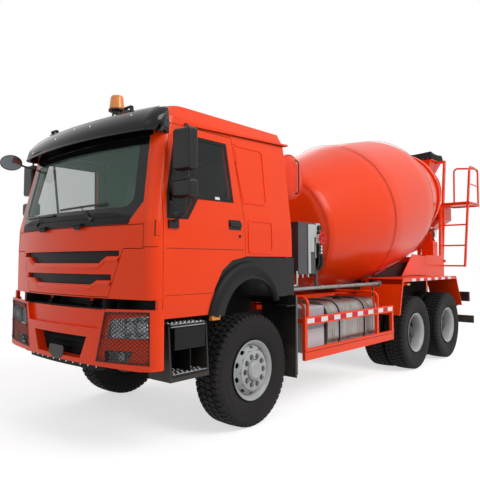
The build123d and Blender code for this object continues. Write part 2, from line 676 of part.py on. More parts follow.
def make_drum():
    outer = [(0, flange_at + 60)] + drum_outline
    inner = [(radius - drum_wall, at + drum_wall * (at < 0)) for radius, at in reversed(drum_outline)]
    inner.append((0, flange_at + 80))
    drum = revolve(Plane.XZ * make_face(Polyline(*(outer + inner), close=True)), Axis.Z)
    low, high = track_at - track_width / 2, track_at + track_width / 2
    seat = cone_at_track - 20
    ring = Polyline((seat, low), (track_radius, low), (track_radius, high), (seat, high), close=True)
    hollow = [(0, 3000)] + [(radius - drum_wall, at) for radius, at in drum_outline[4:]] + [(0, mouth_at)]
    ring = revolve(Plane.XZ * make_face(ring), Axis.Z)
    ring -= revolve(Plane.XZ * make_face(Polyline(*hollow, close=True)), Axis.Z)
    flange = Pos(0, 0, flange_at) * Cylinder(flange_radius, 80, align=(Align.CENTER, Align.CENTER, Align.MIN))
    nodes["mixing_drum"] = drum_frame * (drum + ring + flange)


def roller_place(side):
    """Middle of the track roller on one side, in the drum's frame turned to the row's."""
    angle = radians(roller_angle)
    return drum_frame * Pos(side * roller_reach * sin(angle), roller_reach * cos(angle), track_at)


def make_rollers():
    roller = Cylinder(roller_radius, roller_width) - Cylinder(roller_pin + bearing_gap, 2 * roller_width)
    nodes["roller_left"] = roller_place(1) * roller
    nodes["roller_right"] = roller_place(-1) * roller


def make_rear_pedestal():
    cheek = roller_width / 2 + 22
    head = Cylinder(roller_pin, roller_width + 60) + Pos(0, 165, 0) * Box(130, 30, roller_width + 80)
    for z in (-cheek, cheek):
        head += Pos(0, 60, z) * Box(110, 220, 16)
    x0, x1 = 390, 650
    side = block(x0, x1, 7310, 8264, subframe_top_z, 1780) + block(440, x1, 7700, 7930, 1770, 2050)
    side += prism_x([(6900, subframe_top_z), (7080, subframe_top_z), (7620, 1770), (7480, 1770)], 440, 520)
    side += prism_x([(8120, 1770), (8264, 1770), (8290, 2700), (8420, 2860), (8560, 3778), (8490, 3778),
                     (8340, 2880), (8190, 2720)], 600, 640)
    side += block(452, 640, 8490, 8560, 3728, 3778) + block(580, 640, 8250, 8750, 2560, 2620)
    pedestal = both(side) + roller_place(1) * head + roller_place(-1) * head
    pedestal += block(-x0, x0, 7400, 7520, 1500, 1700) + block(-x0, x0, 8100, 8200, 1500, 1760)
    pedestal += prism_x([(8100, 1420), (8100, 1700), (8830, 1690), (8830, 1410)], -60, 60)
    pedestal += rod((0, chute_pivot_y, 1400), (0, chute_pivot_y, 1700), 78)
    nodes["rear_pedestal"] = pedestal - rod((0, chute_pivot_y, 1300), (0, chute_pivot_y, 1800), 45 + bearing_gap)


def make_chute():
    y = chute_pivot_y
    pin_x = -60
    z = chute_hinge_z
    swivel = rod((0, y, 1380), (0, y, z - 100), 45) + rod((0, y, 1700 + bearing_gap), (0, y, 1725), 85)
    swivel += block(pin_x - 50, 50, y - 126, y + 126, z - 120, z - 90)
    for side in (-1, 1):
        swivel += block(pin_x - 40, pin_x + 40, y + side * 110, y + side * 126, z - 100, z + 34)
    nodes["chute_swivel"] = swivel + rod((pin_x, y - 130, z), (pin_x, y + 130, z), 18)
    rim_z = 45 + chute_radius
    outer = chute_radius + chute_wall
    trough = rod((chute_tail, 0, rim_z), (-chute_length, 0, rim_z), outer)
    trough -= rod((chute_tail + 10, 0, rim_z), (-chute_length - 10, 0, rim_z), chute_radius)
    trough -= block(-chute_length - 10, chute_tail + 10, -outer - 10, outer + 10, rim_z, rim_z + outer + 10)
    for side in (-1, 1):
        trough += block(-chute_length, chute_tail, side * chute_radius, side * (chute_radius + 30), rim_z - 14, rim_z)
        lug = block(-40, 40, side * 76, side * 104, -30, 75) - rod((0, -150, 0), (0, 150, 0), 18 + bearing_gap)
        trough += lug - rod((chute_tail, 0, rim_z), (-chute_length, 0, rim_z), chute_radius)
    nodes["main_chute"] = Pos(pin_x, y, z) * Rot(0, -chute_rest_tilt, 0) * trough


def make_drum_drive():
    along = (Align.CENTER, Align.CENTER, Align.MAX)
    axis = drum_frame * Pos(0, 0, flange_at - 6)
    drive = axis * (Cylinder(215, 300, align=along) + Pos(0, 0, -290) * Cylinder(120, 240, align=along))
    stand = prism_y([(-430, subframe_top_z), (430, subframe_top_z), (300, 2000), (-300, 2000)], 2840, 2960)
    stand -= prism_y([(-250, 1290), (250, 1290), (180, 1660), (-180, 1660)], 2800, 3000)
    brace = prism_x([(2950, subframe_top_z), (3380, subframe_top_z), (2950, 1760)], 330, 350)
    nodes["drum_drive"] = drive + stand + both(brace)


def make_tank_and_cooler():
    y, z = 2530, 2676
    tank = rod_x(-900, 900, y, z, 268) + block(-600, 600, y - 60, y + 60, 1820, 1900)
    for x in (-520, 520):
        tank += block(x - 40, x + 40, y - 60, y + 60, 1890, 2440)
    nodes["water_tank"] = tank + both(block(350, rail_outer_x, y - 60, y + 60, frame_top_z, 1830))
    cooler = block(690, 1050, 2482, 2847, 1510, 2120) + block(990, 1050, 2840, 2948, 1560, 2120)
    cooler += block(rail_outer_x, 700, 2540, 2590, 1560, 1620)
    cooler += pipe([(1020, 2900, 1600), (1020, 2900, 1334), (1020, 4575, 1334)], 20, 60)
    cooler += block(rail_outer_x, 1030, 4390, 4410, 1150, 1170) + block(1010, 1030, 4390, 4410, 1150, 1330)
    nodes["oil_cooler"] = cooler


def make_rear_mudguards():
    x0, x1 = 700, 1245
    hood = [(4776, 869), (4923, 1405), (7182, 1398), (7456, 861), (7446, 858), (7174, 1390), (4930, 1397), (4785, 866)]
    guard = prism_x(hood, x0, x1)
    guard += prism_x([(4923, 1405), (7182, 1398), (7202, 1350), (4908, 1350)], x1 - 8, x1)
    guard += prism_x([(3794, 1417), (4930, 1405), (4776, 869), (4600, 1020), (3794, 1300)], 1180, 1190)
    for y in (5020, 6096, 7100):
        guard += block(rail_outer_x, x0 + 20, y - 25, y + 25, 1080, 1130)
        guard += block(x0, x0 + 20, y - 25, y + 25, 1080, 1398)
    nodes["rear_mudguards"] = both(guard)


def funnel(low, high):
    """Four-sided funnel. Each end is its height, middle along Y, width and depth."""
    walls = []
    for inset in (0, 8):
        loops = []
        for z, y, wide, deep in (low, high):
            w = wide / 2 - inset
            d = deep / 2 - inset
            loops.append([(-w, y - d, z), (w, y - d, z), (w, y + d, z), (-w, y + d, z)])
        walls.append(shell_solid(loops))
    return walls[0] - walls[1]


def make_hoppers():
    h = hopper_half_width
    seat_z = hopper_top_z - 160
    front = hopper_front_y + 20
    rear = hopper_rear_y
    body = funnel((3250, 8475, 440, 250), (seat_z, (front + rear) / 2, 2 * h, rear - front))
    flange = block(-h - 25, h + 25, front, rear + 25, seat_z - 12, seat_z)
    body += flange - block(8 - h, h - 8, front + 8, rear - 8, seat_z - 20, seat_z + 10)
    tongue = prism_x([(8596, 3262), (8600, 3250), (8262, 2950), (8250, 2962)], -200, 200)
    nodes["charge_hopper"] = body + tongue
    rubber = block(-h, h, hopper_front_y, rear, seat_z, hopper_top_z)
    nodes["hopper_rim"] = rubber - block(24 - h, h - 24, hopper_front_y + 24, rear - 24, seat_z - 10, hopper_top_z + 10)
    top = 2540
    outlet = funnel((2250 + 75, chute_pivot_y - 20, 420, 300), (top, 8680, 1160, 560))
    for side in (-1, 1):
        outlet += block(side * 572, side * 580, 8480, 8960, top - 4, 2900)
    outlet += block(-580, 580, 8952, 8960, top - 4, 2900)
    nodes["discharge_funnel"] = outlet


def make_ladder():
    y = ladder_y
    x0, x1 = 662, 1085
    stiles = rod((x0, y, 1560), (x0, y, 2830), 18) + rod((x1, y, 1560), (x1, y, 2830), 18)
    for z in (1575, 1985, 2400):
        stiles += rod_x(x0, x1, y, z, 15)
    deck = block(640, 1160, y - 18, 8950, 2820, 2860)
    rail = pipe([(x1, y, 2840), (x1, y, 3570), (x1, 8860, 3570), (x1, 8860, 2840)], 16, 90)
    nodes["ladder"] = stiles + deck + rail + block(600, 670, 8264, 8310, 1640, 1700)


def make_rear_bar():
    bar = block(-1248, 1248, 8075, 8115, 480, 620)
    arm = prism_x([(7860, 780), (7860, 900), (7950, 900), (8080, 640), (8080, 500), (8000, 500)],
                  rail_outer_x, rail_outer_x + 32)
    panel = block(-1000, 1000, frame_rear_y, frame_rear_y + 12, 800, 1050)
    for x in (-coupling_wide / 2, coupling_wide / 2):
        for z in (coupling_z - coupling_high / 2, coupling_z + coupling_high / 2):
            panel -= rod((x, frame_rear_y - 50, z), (x, frame_rear_y + 50, z), coupling_hole)
    nodes["rear_bar"] = bar + both(arm) + panel + both(block(990, 1220, 7930, 7990, 900, 1080))


for make in (make_cab, make_visor, make_cab_fittings, make_arches, make_mirrors, make_bumper, make_frame,
             make_front_axle, make_springs, make_drive_axles, make_powertrain, make_front_wheels, make_rear_wheels,
             make_steering, make_front_guards, make_side_gear, make_side_guards, make_subframe, make_drum,
             make_rollers, make_rear_pedestal, make_chute, make_drum_drive, make_tank_and_cooler,
             make_rear_mudguards, make_hoppers, make_ladder, make_rear_bar):
    make()

os.makedirs("parts", exist_ok=True)
for name, shape in nodes.items():
    export_step(Pos(0, -middle_y, 0) * shape, "parts/" + name + ".step")
    print(name, len(shape.solids()))
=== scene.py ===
# %% [markdown]
# # Dressing a concrete mixer truck
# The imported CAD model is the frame: every piece has its real size and place, and rides on a body that
# a joint can move. This file adds what paint, rubber, glass and small fittings give the eye. Nothing is
# read from disk but the frame, so each pattern is made by nodes and each fitting by mesh code.

# %% Load the frame
import bpy
import bmesh
from math import cos, hypot, pi, radians, sin
from mathutils import Matrix, Vector
from mathutils.geometry import interpolate_bezier


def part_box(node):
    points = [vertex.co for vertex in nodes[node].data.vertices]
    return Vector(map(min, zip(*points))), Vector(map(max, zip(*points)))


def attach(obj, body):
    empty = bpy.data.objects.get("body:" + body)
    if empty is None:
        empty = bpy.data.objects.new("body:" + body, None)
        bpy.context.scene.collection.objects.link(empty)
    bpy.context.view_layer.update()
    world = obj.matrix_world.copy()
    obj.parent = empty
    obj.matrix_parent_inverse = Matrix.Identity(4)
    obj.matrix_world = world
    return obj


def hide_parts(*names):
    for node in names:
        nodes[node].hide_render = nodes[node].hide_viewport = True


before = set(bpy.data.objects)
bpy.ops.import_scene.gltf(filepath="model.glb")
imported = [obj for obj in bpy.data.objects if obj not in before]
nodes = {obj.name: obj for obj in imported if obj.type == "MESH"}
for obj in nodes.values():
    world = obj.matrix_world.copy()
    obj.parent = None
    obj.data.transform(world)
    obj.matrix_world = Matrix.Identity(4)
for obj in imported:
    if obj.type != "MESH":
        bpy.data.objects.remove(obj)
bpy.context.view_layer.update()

# %% [markdown]
# The truck was laid out from its bumper backwards in millimetres. The frame's origin is under the middle
# of its box, so one shift turns a measured place into the frame's metres. The shift is read from the
# bumper's own box, whose front is at zero along the truck.

# %% Places in the frame
shift_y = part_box("front_bumper")[0][1]


def at(x, y, z):
    """A place given in millimetres from the bumper's front, as a vector in the frame."""
    return Vector((x / 1000, shift_y + y / 1000, z / 1000))


print("bumper front at y", round(shift_y, 4), "m")

# %% [markdown]
# Colours are written as they look on a screen, in sRGB hex. Blender's sockets want linear light, so one
# function turns the one into the other.

# %% Colours
def colour(text):
    """Linear RGBA of an sRGB hex colour."""
    channels = [int(text[k:k + 2], 16) / 255 for k in (1, 3, 5)]
    return [c / 12.92 if c <= 0.04045 else ((c + 0.055) / 1.055) ** 2.4 for c in channels] + [1]


# %% [markdown]
# A material is a small graph. One function adds a node, sets its inputs and wires its links, so that a
# graph reads from top to bottom. Patterns use object coordinates: all nodes sit at the frame's origin,
# so one unit is one metre, and a pattern's scale is 1000 divided by its size in millimetres.

# %% Material graphs
def material(name):
    """A new material with its graph, its shader and the object coordinates."""
    made = bpy.data.materials.new(name)
    made.use_nodes = True
    tree = made.node_tree
    shader = tree.nodes["Principled BSDF"]
    place = tree.nodes.new("ShaderNodeTexCoord").outputs["Object"]
    print("material", name)
    return made, tree, shader, place


def add(tree, kind, settings=None, **links):
    """Adds a node. Settings go to its properties or inputs, links take a value or another node's output."""
    node = tree.nodes.new(kind)
    for key, value in (settings or {}).items():
        if hasattr(node, key):
            setattr(node, key, value)
        else:
            node.inputs[key].default_value = value
    for key, value in links.items():
        socket = node.inputs[int(key[1:]) if key[0] == "i" and key[1:].isdigit() else key.replace("_", " ")]
        if isinstance(value, bpy.types.NodeSocket):
            tree.links.new(value, socket)
        else:
            socket.default_value = value
    return node


def set_shader(shader, **values):
    """Sets the shader's own sockets, named with underscores for spaces."""
    for key, value in values.items():
        shader.inputs[key.replace("_", " ")].default_value = value


def per_metre(size_mm):
    """Texture scale for a pattern of this size."""
    return 1000 / size_mm


def noise(tree, place, size_mm, detail, roughness=0.5):
    """A noise of this size, from 0 to 1."""
    settings = {"Scale": per_metre(size_mm), "Detail": detail, "Roughness": roughness}
    return add(tree, "ShaderNodeTexNoise", settings, Vector=place).outputs["Fac"]


def maths(tree, operation, *values):
    """The result of an operation on one or two values."""
    values = {"i%d" % k: value for k, value in enumerate(values)}
    return add(tree, "ShaderNodeMath", {"operation": operation}, **values).outputs[0]


def ramp(tree, value, **limits):
    """Carries a value from one range to another, whose limits are named with underscores for spaces."""
    limits = {key.replace("_", " "): limit for key, limit in limits.items()}
    return add(tree, "ShaderNodeMapRange", limits, Value=value).outputs["Result"]


def blend(tree, share, first, second):
    """Mixes two colours by a share of the second."""
    return add(tree, "ShaderNodeMix", {"data_type": "RGBA"}, Factor=share, i6=first, i7=second).outputs[2]


def raise_grain(tree, shader, height, strength, distance):
    """Bumps the surface by a pattern of heights. Distance is in metres."""
    bump = add(tree, "ShaderNodeBump", {"Strength": strength, "Distance": distance}, Height=height)
    tree.links.new(bump.outputs["Normal"], shader.inputs["Normal"])


# %% [markdown]
# Acrylic body paint on pressed steel is glossy, slightly wavy and never quite one colour: road dust
# lies on the lower panels. A broad noise varies the tone a little, a fine one gives the orange-peel
# bump of sprayed paint, and height above the ground mixes in dust. The cab's inside is dark trim with
# painted shade, its low downward faces are painted near-black as painted shade, and both are told by
# where their faces look.

# %% Sprayed paint
def trim_and_shade_faces(tree, place):
    """One on the cab's inner faces (dark trim with painted shade) and its low downward faces (painted shade),
    else zero: their normals point to its middle or down.
    """
    form = add(tree, "ShaderNodeNewGeometry").outputs["True Normal"]
    out = add(tree, "ShaderNodeVectorMath", {"operation": "SUBTRACT"}, i0=place, i1=at(0, 1200, 2300))
    facing = add(tree, "ShaderNodeVectorMath", {"operation": "DOT_PRODUCT"}, i0=form, i1=out.outputs[0])
    where = add(tree, "ShaderNodeSeparateXYZ", Vector=place).outputs
    lean = add(tree, "ShaderNodeSeparateXYZ", Vector=form).outputs
    within = maths(tree, "LESS_THAN", maths(tree, "ABSOLUTE", where["X"]), 1.192)
    trim_and_shade_inside = maths(tree, "MULTIPLY", within, maths(tree, "LESS_THAN", facing.outputs["Value"], 0.0))
    # Faces below 1.62 m that look down are marked for painted shade.
    below = maths(tree, "LESS_THAN", where["Z"], 1.62)
    under = maths(tree, "MULTIPLY", below, maths(tree, "LESS_THAN", lean["Z"], -0.3))
    return maths(tree, "MAXIMUM", trim_and_shade_inside, under)


def sprayed_paint(name, tone, dust_tone="#8a7a6c", dust_top=1.1, dust_most=0.16, roughness=0.32, coat=0.13,
                  lined_and_shaded=False):
    """Body paint with orange-peel bump and dust that thins out upwards. Dust top is in metres."""
    made, tree, shader, place = material(name)
    set_shader(shader, Roughness=roughness, Coat_Weight=coat, Coat_Roughness=0.12, IOR=1.5,
               Specular_IOR_Level=0.2)
    deep = [c * 0.86 for c in colour(tone)[:3]] + [1]
    paint = blend(tree, noise(tree, place, 900, 4.0), deep, colour(tone))
    height = add(tree, "ShaderNodeSeparateXYZ", Vector=place).outputs["Z"]
    low = ramp(tree, height, From_Min=0.0, From_Max=dust_top, To_Min=1.0, To_Max=0.0)
    spots = ramp(tree, noise(tree, place, 160, 6.0, 0.65), From_Min=0.35, From_Max=0.7, To_Min=0.3, To_Max=1.0)
    dust = maths(tree, "MULTIPLY", low, spots)
    whole = blend(tree, maths(tree, "MULTIPLY", dust, dust_most), paint, colour(dust_tone))
    if lined_and_shaded:
        # On the cab, inner faces get near-black as dark trim with painted shade, and low downward faces as
        # painted shade.
        whole = blend(tree, trim_and_shade_faces(tree, place), whole, colour("#171615"))
    tree.links.new(whole, shader.inputs["Base Color"])
    rough = ramp(tree, dust, From_Max=1.0, To_Min=roughness, To_Max=0.75)
    tree.links.new(rough, shader.inputs["Roughness"])
    raise_grain(tree, shader, noise(tree, place, 12, 2.0), 0.05, 0.002)
    return made


orange_paint = sprayed_paint("sprayed_acrylic_orange", "#ff4305")
cab_paint_and_shade = sprayed_paint("sprayed_cab_orange_with_trim_and_painted_shade", "#ff4305", lined_and_shaded=True)
drum_paint = sprayed_paint("sprayed_acrylic_drum_orange", "#fb420a", dust_top=1.6, dust_most=0.25)
chassis_paint = sprayed_paint("sprayed_chassis_black", "#1b1b1c", dust_most=0.5, roughness=0.5, coat=0.1)
silver_paint = sprayed_paint("sprayed_wheel_silver", "#b9bcbd", dust_tone="#7b756c", dust_most=0.45,
                             roughness=0.38, coat=0.25)
grey_paint = sprayed_paint("sprayed_cooler_grey", "#4c4d51", dust_top=2.4, roughness=0.42, coat=0.2)
pale_paint = sprayed_paint("sprayed_valve_plate_grey", "#c4c7c5", dust_top=2.4, roughness=0.45, coat=0.1)

# %% [markdown]
# Moulded plastics differ by their mould. ABS trim is grained: a fine Voronoi bump breaks its shine. The
# visor is smoked acrylic, dark and smooth, so that it reads as glossy brown-black.

# %% Moulded plastics and rubber
def moulded(name, tone, grain_mm, roughness, depth=0.0006, second=None):
    """Moulded plastic or rubber with a grain of a given size and slightly uneven colour."""
    made, tree, shader, place = material(name)
    set_shader(shader, Roughness=roughness, IOR=1.46, Specular_IOR_Level=0.2 if roughness > 0.3 else 0.36)
    tone_two = colour(second) if second else [c * 1.5 + 0.004 for c in colour(tone)[:3]] + [1]
    mixed = blend(tree, noise(tree, place, 260, 5.0, 0.6), colour(tone), tone_two)
    tree.links.new(mixed, shader.inputs["Base Color"])
    grain = add(tree, "ShaderNodeTexVoronoi", {"Scale": per_metre(grain_mm)}, Vector=place)
    raise_grain(tree, shader, grain.outputs["Distance"], 0.25, depth)
    return made


grained_abs = moulded("grained_black_abs", "#0f0f10", 6, 0.5)
smooth_abs = moulded("smooth_black_abs", "#0d0d0e", 30, 0.28, depth=0.0001)
smoked_acrylic = moulded("smoked_acrylic", "#080605", 60, 0.12, depth=0.0001, second="#120c09")
tyre_rubber = moulded("tyre_rubber", "#18181a", 10, 0.72, depth=0.001, second="#2e2b29")
mud_rubber = moulded("sheet_rubber", "#1c1b1b", 14, 0.8, depth=0.001, second="#33302d")
cab_plastic = moulded("cab_trim_plastic", "#4a4744", 8, 0.6)

# %% [markdown]
# Bare metals keep the shader's default IOR and get their look from roughness. Cast iron under a truck
# is dusty and dull, drawn aluminium is brushed, and stainless pipe is nearly a mirror.

# %% Bare metals
def bare_metal(name, tone, roughness, grain_mm, stretch=(1, 1, 1), depth=0.0004, soil=None):
    """Metal whose grain can be stretched along an axis, with soil in noise patches."""
    made, tree, shader, place = material(name)
    set_shader(shader, Metallic=1.0)
    drawn = add(tree, "ShaderNodeMapping", {"Scale": stretch}, Vector=place).outputs[0]
    grain = noise(tree, drawn, grain_mm, 5.0)
    part = ramp(tree, noise(tree, place, 220, 5.0, 0.7), From_Min=0.4, From_Max=0.75, To_Max=0.8)
    mixed = blend(tree, part, colour(tone), colour(soil or tone))
    tree.links.new(mixed, shader.inputs["Base Color"])
    rough = ramp(tree, grain, To_Min=roughness - 0.08, To_Max=roughness + 0.12)
    tree.links.new(rough, shader.inputs["Roughness"])
    raise_grain(tree, shader, grain, 0.2, depth)
    return made


cast_iron = bare_metal("painted_cast_iron", "#3a3937", 0.6, 9, depth=0.001, soil="#5a5148")
aluminium = bare_metal("mill_finish_aluminium", "#a39f9c", 0.4, 3, (1, 0.04, 1), soil="#7d7068")
bright_steel = bare_metal("polished_stainless_steel", "#d6d8d8", 0.16, 4, soil="#b8b6b0")
galvanised = bare_metal("galvanised_steel", "#9b9d9c", 0.45, 14, soil="#7b7a76")

# %% [markdown]
# Laminated windscreen glass has a green tint from its iron. It is thin, so a mix of clear and glossy
# shaders, weighted by Fresnel, shows the cab behind it without bending the light.

# %% Glass and lenses
def tinted_glass(name, tone, clear=0.9, roughness=0.02):
    """Window glass: transparent in its tint, glossy by Fresnel."""
    made, tree, shader, place = material(name)
    set_shader(shader, Base_Color=colour(tone), Roughness=roughness, IOR=1.52, Alpha=1 - clear, Coat_Weight=0.3)
    made.surface_render_method = "BLENDED"
    rough = ramp(tree, noise(tree, place, 300, 3.0), To_Min=roughness, To_Max=roughness + 0.05)
    tree.links.new(rough, shader.inputs["Roughness"])
    return made


screen_glass = tinted_glass("laminated_green_glass", "#6f9484", 0.78)
side_glass = tinted_glass("toughened_side_glass", "#1d2724", 0.75)
lamp_glass = tinted_glass("clear_lamp_polycarbonate", "#dfe6ea", 0.9)
amber_lens = tinted_glass("amber_lens_polycarbonate", "#f59000", 0.15)
mirror_glass = bare_metal("silvered_mirror_glass", "#6a7074", 0.12, 200, depth=0.0)
red_tape = moulded("red_reflective_tape", "#c0121a", 3, 0.35, second="#d8242a")
white_tape = moulded("white_reflective_tape", "#dcdedd", 3, 0.35, second="#eceeee")

# %% [markdown]
# Most CAD pieces have the right shape already and only need their finish. A table gives each one its
# material. The cab's dark lining, trim with painted shade, is part of its paint, since the shell is one piece.

# %% Finishes for the CAD pieces
finishes = {
    cab_paint_and_shade: "cab_shell door_left door_right",
    orange_paint: "front_flap front_bumper side_guards rear_mudguards",
    drum_paint: "mixing_drum charge_hopper discharge_funnel main_chute chute_swivel ladder "
                "mixer_subframe rear_pedestal",
    chassis_paint: "chassis_frame leaf_springs front_guards wheel_arches knuckle_left "
                   "knuckle_right tie_rod rear_bar",
    cast_iron: "front_axle drive_axles powertrain",
    silver_paint: "rim_front_left rim_front_right rims_mid_left rims_mid_right rims_rear_left rims_rear_right",
    grey_paint: "oil_cooler drum_drive",
    smooth_abs: "steering_wheel mirror_left mirror_right front_mirror",
    smoked_acrylic: "sun_visor",
    grained_abs: "grille_mesh",
    mud_rubber: "hopper_rim",
    cab_plastic: "cab_interior",
    aluminium: "fuel_tank",
    galvanised: "silencer",
    bright_steel: "roller_left roller_right",
    screen_glass: "windscreen",
    side_glass: "door_glass_left door_glass_right",
    amber_lens: "beacon",
    lamp_glass: "headlamps",
    tyre_rubber: "tyre_front_left tyre_front_right tyres_mid_left tyres_mid_right "
                 "tyres_rear_left tyres_rear_right",
}
water_paint = sprayed_paint("sprayed_water_tank_orange", "#f63d0d", dust_top=1.0)
finishes[water_paint] = "water_tank"


def finish_node(name, made):
    """Gives a CAD node this material in its object's slots, so that its mesh stays as imported."""
    holder = nodes[name]
    if not holder.material_slots:
        holder.data.materials.append(made)
    for slot in holder.material_slots:
        slot.link = "OBJECT"
        slot.material = made


for made, names in finishes.items():
    for name in names.split():
        finish_node(name, made)
dressed = {name for names in finishes.values() for name in names.split()}
print("dressed", len(dressed), "bare", sorted(set(nodes) - dressed))

# %% [markdown]
# The floor is a pale sheet that catches the shadow. To the camera and to reflections it is white, so the
# truck stands on a clean page; only the shadow shows. A grey noise keeps it from being a dead plane.

# %% Floor and white surround
def floor_sheet(size):
    """A square floor at ground height."""
    mesh = bpy.data.meshes.new("floor")
    corners = [(-size, -size, 0), (size, -size, 0), (size, size, 0), (-size, size, 0)]
    mesh.from_pydata(corners, [], [(0, 1, 2, 3)])
    holder = bpy.data.objects.new("floor", mesh)
    bpy.context.collection.objects.link(holder)
    return holder


def shown(tree):
    """One for rays from the camera, from a reflection or through glass, else zero."""
    rays = add(tree, "ShaderNodeLightPath").outputs
    return maths(tree, "MAXIMUM", maths(tree, "MAXIMUM", rays["Is Camera Ray"], rays["Is Glossy Ray"]),
                 rays["Is Transmission Ray"])


floor = floor_sheet(60)
pale, tree, shader, place = material("pale_studio_floor")
set_shader(shader, Roughness=0.9)
tint = blend(tree, noise(tree, place, 700, 3.0), colour("#c6c6c6"), colour("#d2d2d2"))
tree.links.new(tint, shader.inputs["Base Color"])
flat_place = add(tree, "ShaderNodeVectorMath", {"operation": "MULTIPLY"}, i0=place, i1=(1, 1, 0))
away = add(tree, "ShaderNodeVectorMath", {"operation": "LENGTH"}, i0=flat_place.outputs[0])
fade = ramp(tree, away.outputs["Value"], From_Min=4.5, From_Max=9.0)
glow = add(tree, "ShaderNodeEmission", {"Strength": 0.62})
lit = add(tree, "ShaderNodeAddShader", i0=shader.outputs[0], i1=glow.outputs[0])
white = add(tree, "ShaderNodeEmission", {"Strength": 1.0})
page = add(tree, "ShaderNodeMixShader", i0=fade, i1=lit.outputs[0], i2=white.outputs[0])
whole = add(tree, "ShaderNodeMixShader", i0=shown(tree), i1=shader.outputs[0], i2=page.outputs[0])
tree.links.new(whole.outputs[0], tree.nodes["Material Output"].inputs["Surface"])
floor.data.materials.append(pale)

world = bpy.data.worlds.new("white_surround")
bpy.context.scene.world = world
world.use_nodes = True
sky = world.node_tree
background = sky.nodes["Background"]
background.inputs["Color"].default_value = (1, 1, 1, 1)
sky.links.new(ramp(sky, shown(sky), To_Min=0.45, To_Max=1.0), background.inputs["Strength"])
print("floor and world made")

# %% [markdown]
# The photograph's light is an overcast, slightly brighter from the truck's left and above. A large soft
# area lamp there gives the side faces their light; the front face stays a shade darker, as it was.

# %% Soft lamps
truck_middle = Vector((0, 0, 1.5))


def soft_lamp(name, place, watts):
    """A square area lamp, 8 m wide, that looks at the truck's middle."""
    lamp = bpy.data.lights.new(name, "AREA")
    lamp.size = 8
    lamp.energy = watts
    holder = bpy.data.objects.new(name, lamp)
    bpy.context.collection.objects.link(holder)
    holder.location = place
    holder.rotation_euler = (truck_middle - Vector(place)).to_track_quat("-Z", "Y").to_euler()
    print(name, watts, "W")


soft_lamp("key_lamp", (12, -1, 11), 1250)
soft_lamp("fill_lamp", (2, -14, 6), 110)
soft_lamp("back_lamp", (-9, 9, 8), 300)

# %% [markdown]
# The camera was found by fitting measured places on the truck to the photograph: its spot, a yaw of 42.1
# degrees, a pitch of 3.6 degrees up and its lens. The small shifts put the optical axis off the middle.

# %% Camera
lens = bpy.data.cameras.new("camera")
camera = bpy.data.objects.new("camera", lens)
bpy.context.collection.objects.link(camera)
camera.location = at(4562.96, -2630.18, 1647.24)
camera.rotation_euler = (radians(93.594), 0, radians(42.108))
lens.sensor_width = 36
lens.lens = 39.27
lens.shift_x = 0.02456
lens.shift_y = -0.02234
lens.clip_end = 200
bpy.context.scene.camera = camera
bpy.context.scene.view_settings.view_transform = "Standard"
print("camera at", [round(v, 3) for v in camera.location])

# %% [markdown]
# Fittings are made of a few shapes: boxes, plates cut to an outline, turned rings, bars and bent pipes.
# Each helper adds its shape, in millimetres from the bumper's front, to a mesh under construction, so
# one piece can hold many shapes. A bevel modifier then rounds all its edges by the same small radius.

# %% Helpers for fittings
halves = ((1, "left"), (-1, "right"))


def add_box(bm, x0, x1, y0, y1, z0, z1):
    """Adds a box given by its limits."""
    low, high = at(x0, y0, z0), at(x1, y1, z1)
    made = bmesh.ops.create_cube(bm, size=1)["verts"]
    for vert in made:
        vert.co = [low[k] if vert.co[k] < 0 else high[k] for k in range(3)]


def bridge(bm, rows, ring=False, loop=False):
    """Adds faces between rows of corners. A ring's rows close on themselves, a loop's last row on its first."""
    for near, far in zip(rows, rows[1:] + (rows[:1] if loop else [])):
        for k in range(len(near) - (not ring)):
            j = (k + 1) % len(near)
            bm.faces.new((near[k], near[j], far[j], far[k]))


def on_circle(count, radius):
    """Places spread evenly round a circle, as pairs."""
    return [(radius * cos(2 * pi * k / count), radius * sin(2 * pi * k / count)) for k in range(count)]


def add_plate(bm, outline, thickness):
    """Adds a plate: an outline of (x, y, z) points, made as thick as a vector says."""
    front = [bm.verts.new(at(*p)) for p in outline]
    back = [bm.verts.new(at(*p) + Vector(thickness) / 1000) for p in outline]
    bm.faces.new(front)
    bm.faces.new(back[::-1])
    bridge(bm, [back, front], ring=True)


def add_turned(bm, profile, centre, axis=(1, 0, 0), sides=32, closed=True):
    """Adds a turned shape: (distance along the axis, radius) points carried round the axis."""
    turn = Vector(axis).to_track_quat("Z", "Y").to_matrix()
    middle = at(*centre)
    rings = [[bm.verts.new(middle + turn @ Vector((u, v, along)) / 1000) for u, v in on_circle(sides, radius)]
             for along, radius in profile]
    bridge(bm, rings, ring=True, loop=closed)


def add_disc(bm, centre, axis, radius, thickness, sides=16, dome=0.0):
    """Adds a round button: a short cylinder whose outer face may be domed."""
    profile = [(0, 0.01), (0, radius), (thickness, radius), (thickness + dome, radius * 0.6 if dome else 0.01),
               (thickness + dome * 1.3, 0.01)]
    add_turned(bm, profile, centre, axis, sides)


def add_bar(bm, start, end, radius, sides=10):
    """Adds a round bar between two points."""
    line = Vector(end) - Vector(start)
    add_turned(bm, [(0, 0.01), (0, radius), (line.length, radius), (line.length, 0.01)], start, line, sides)


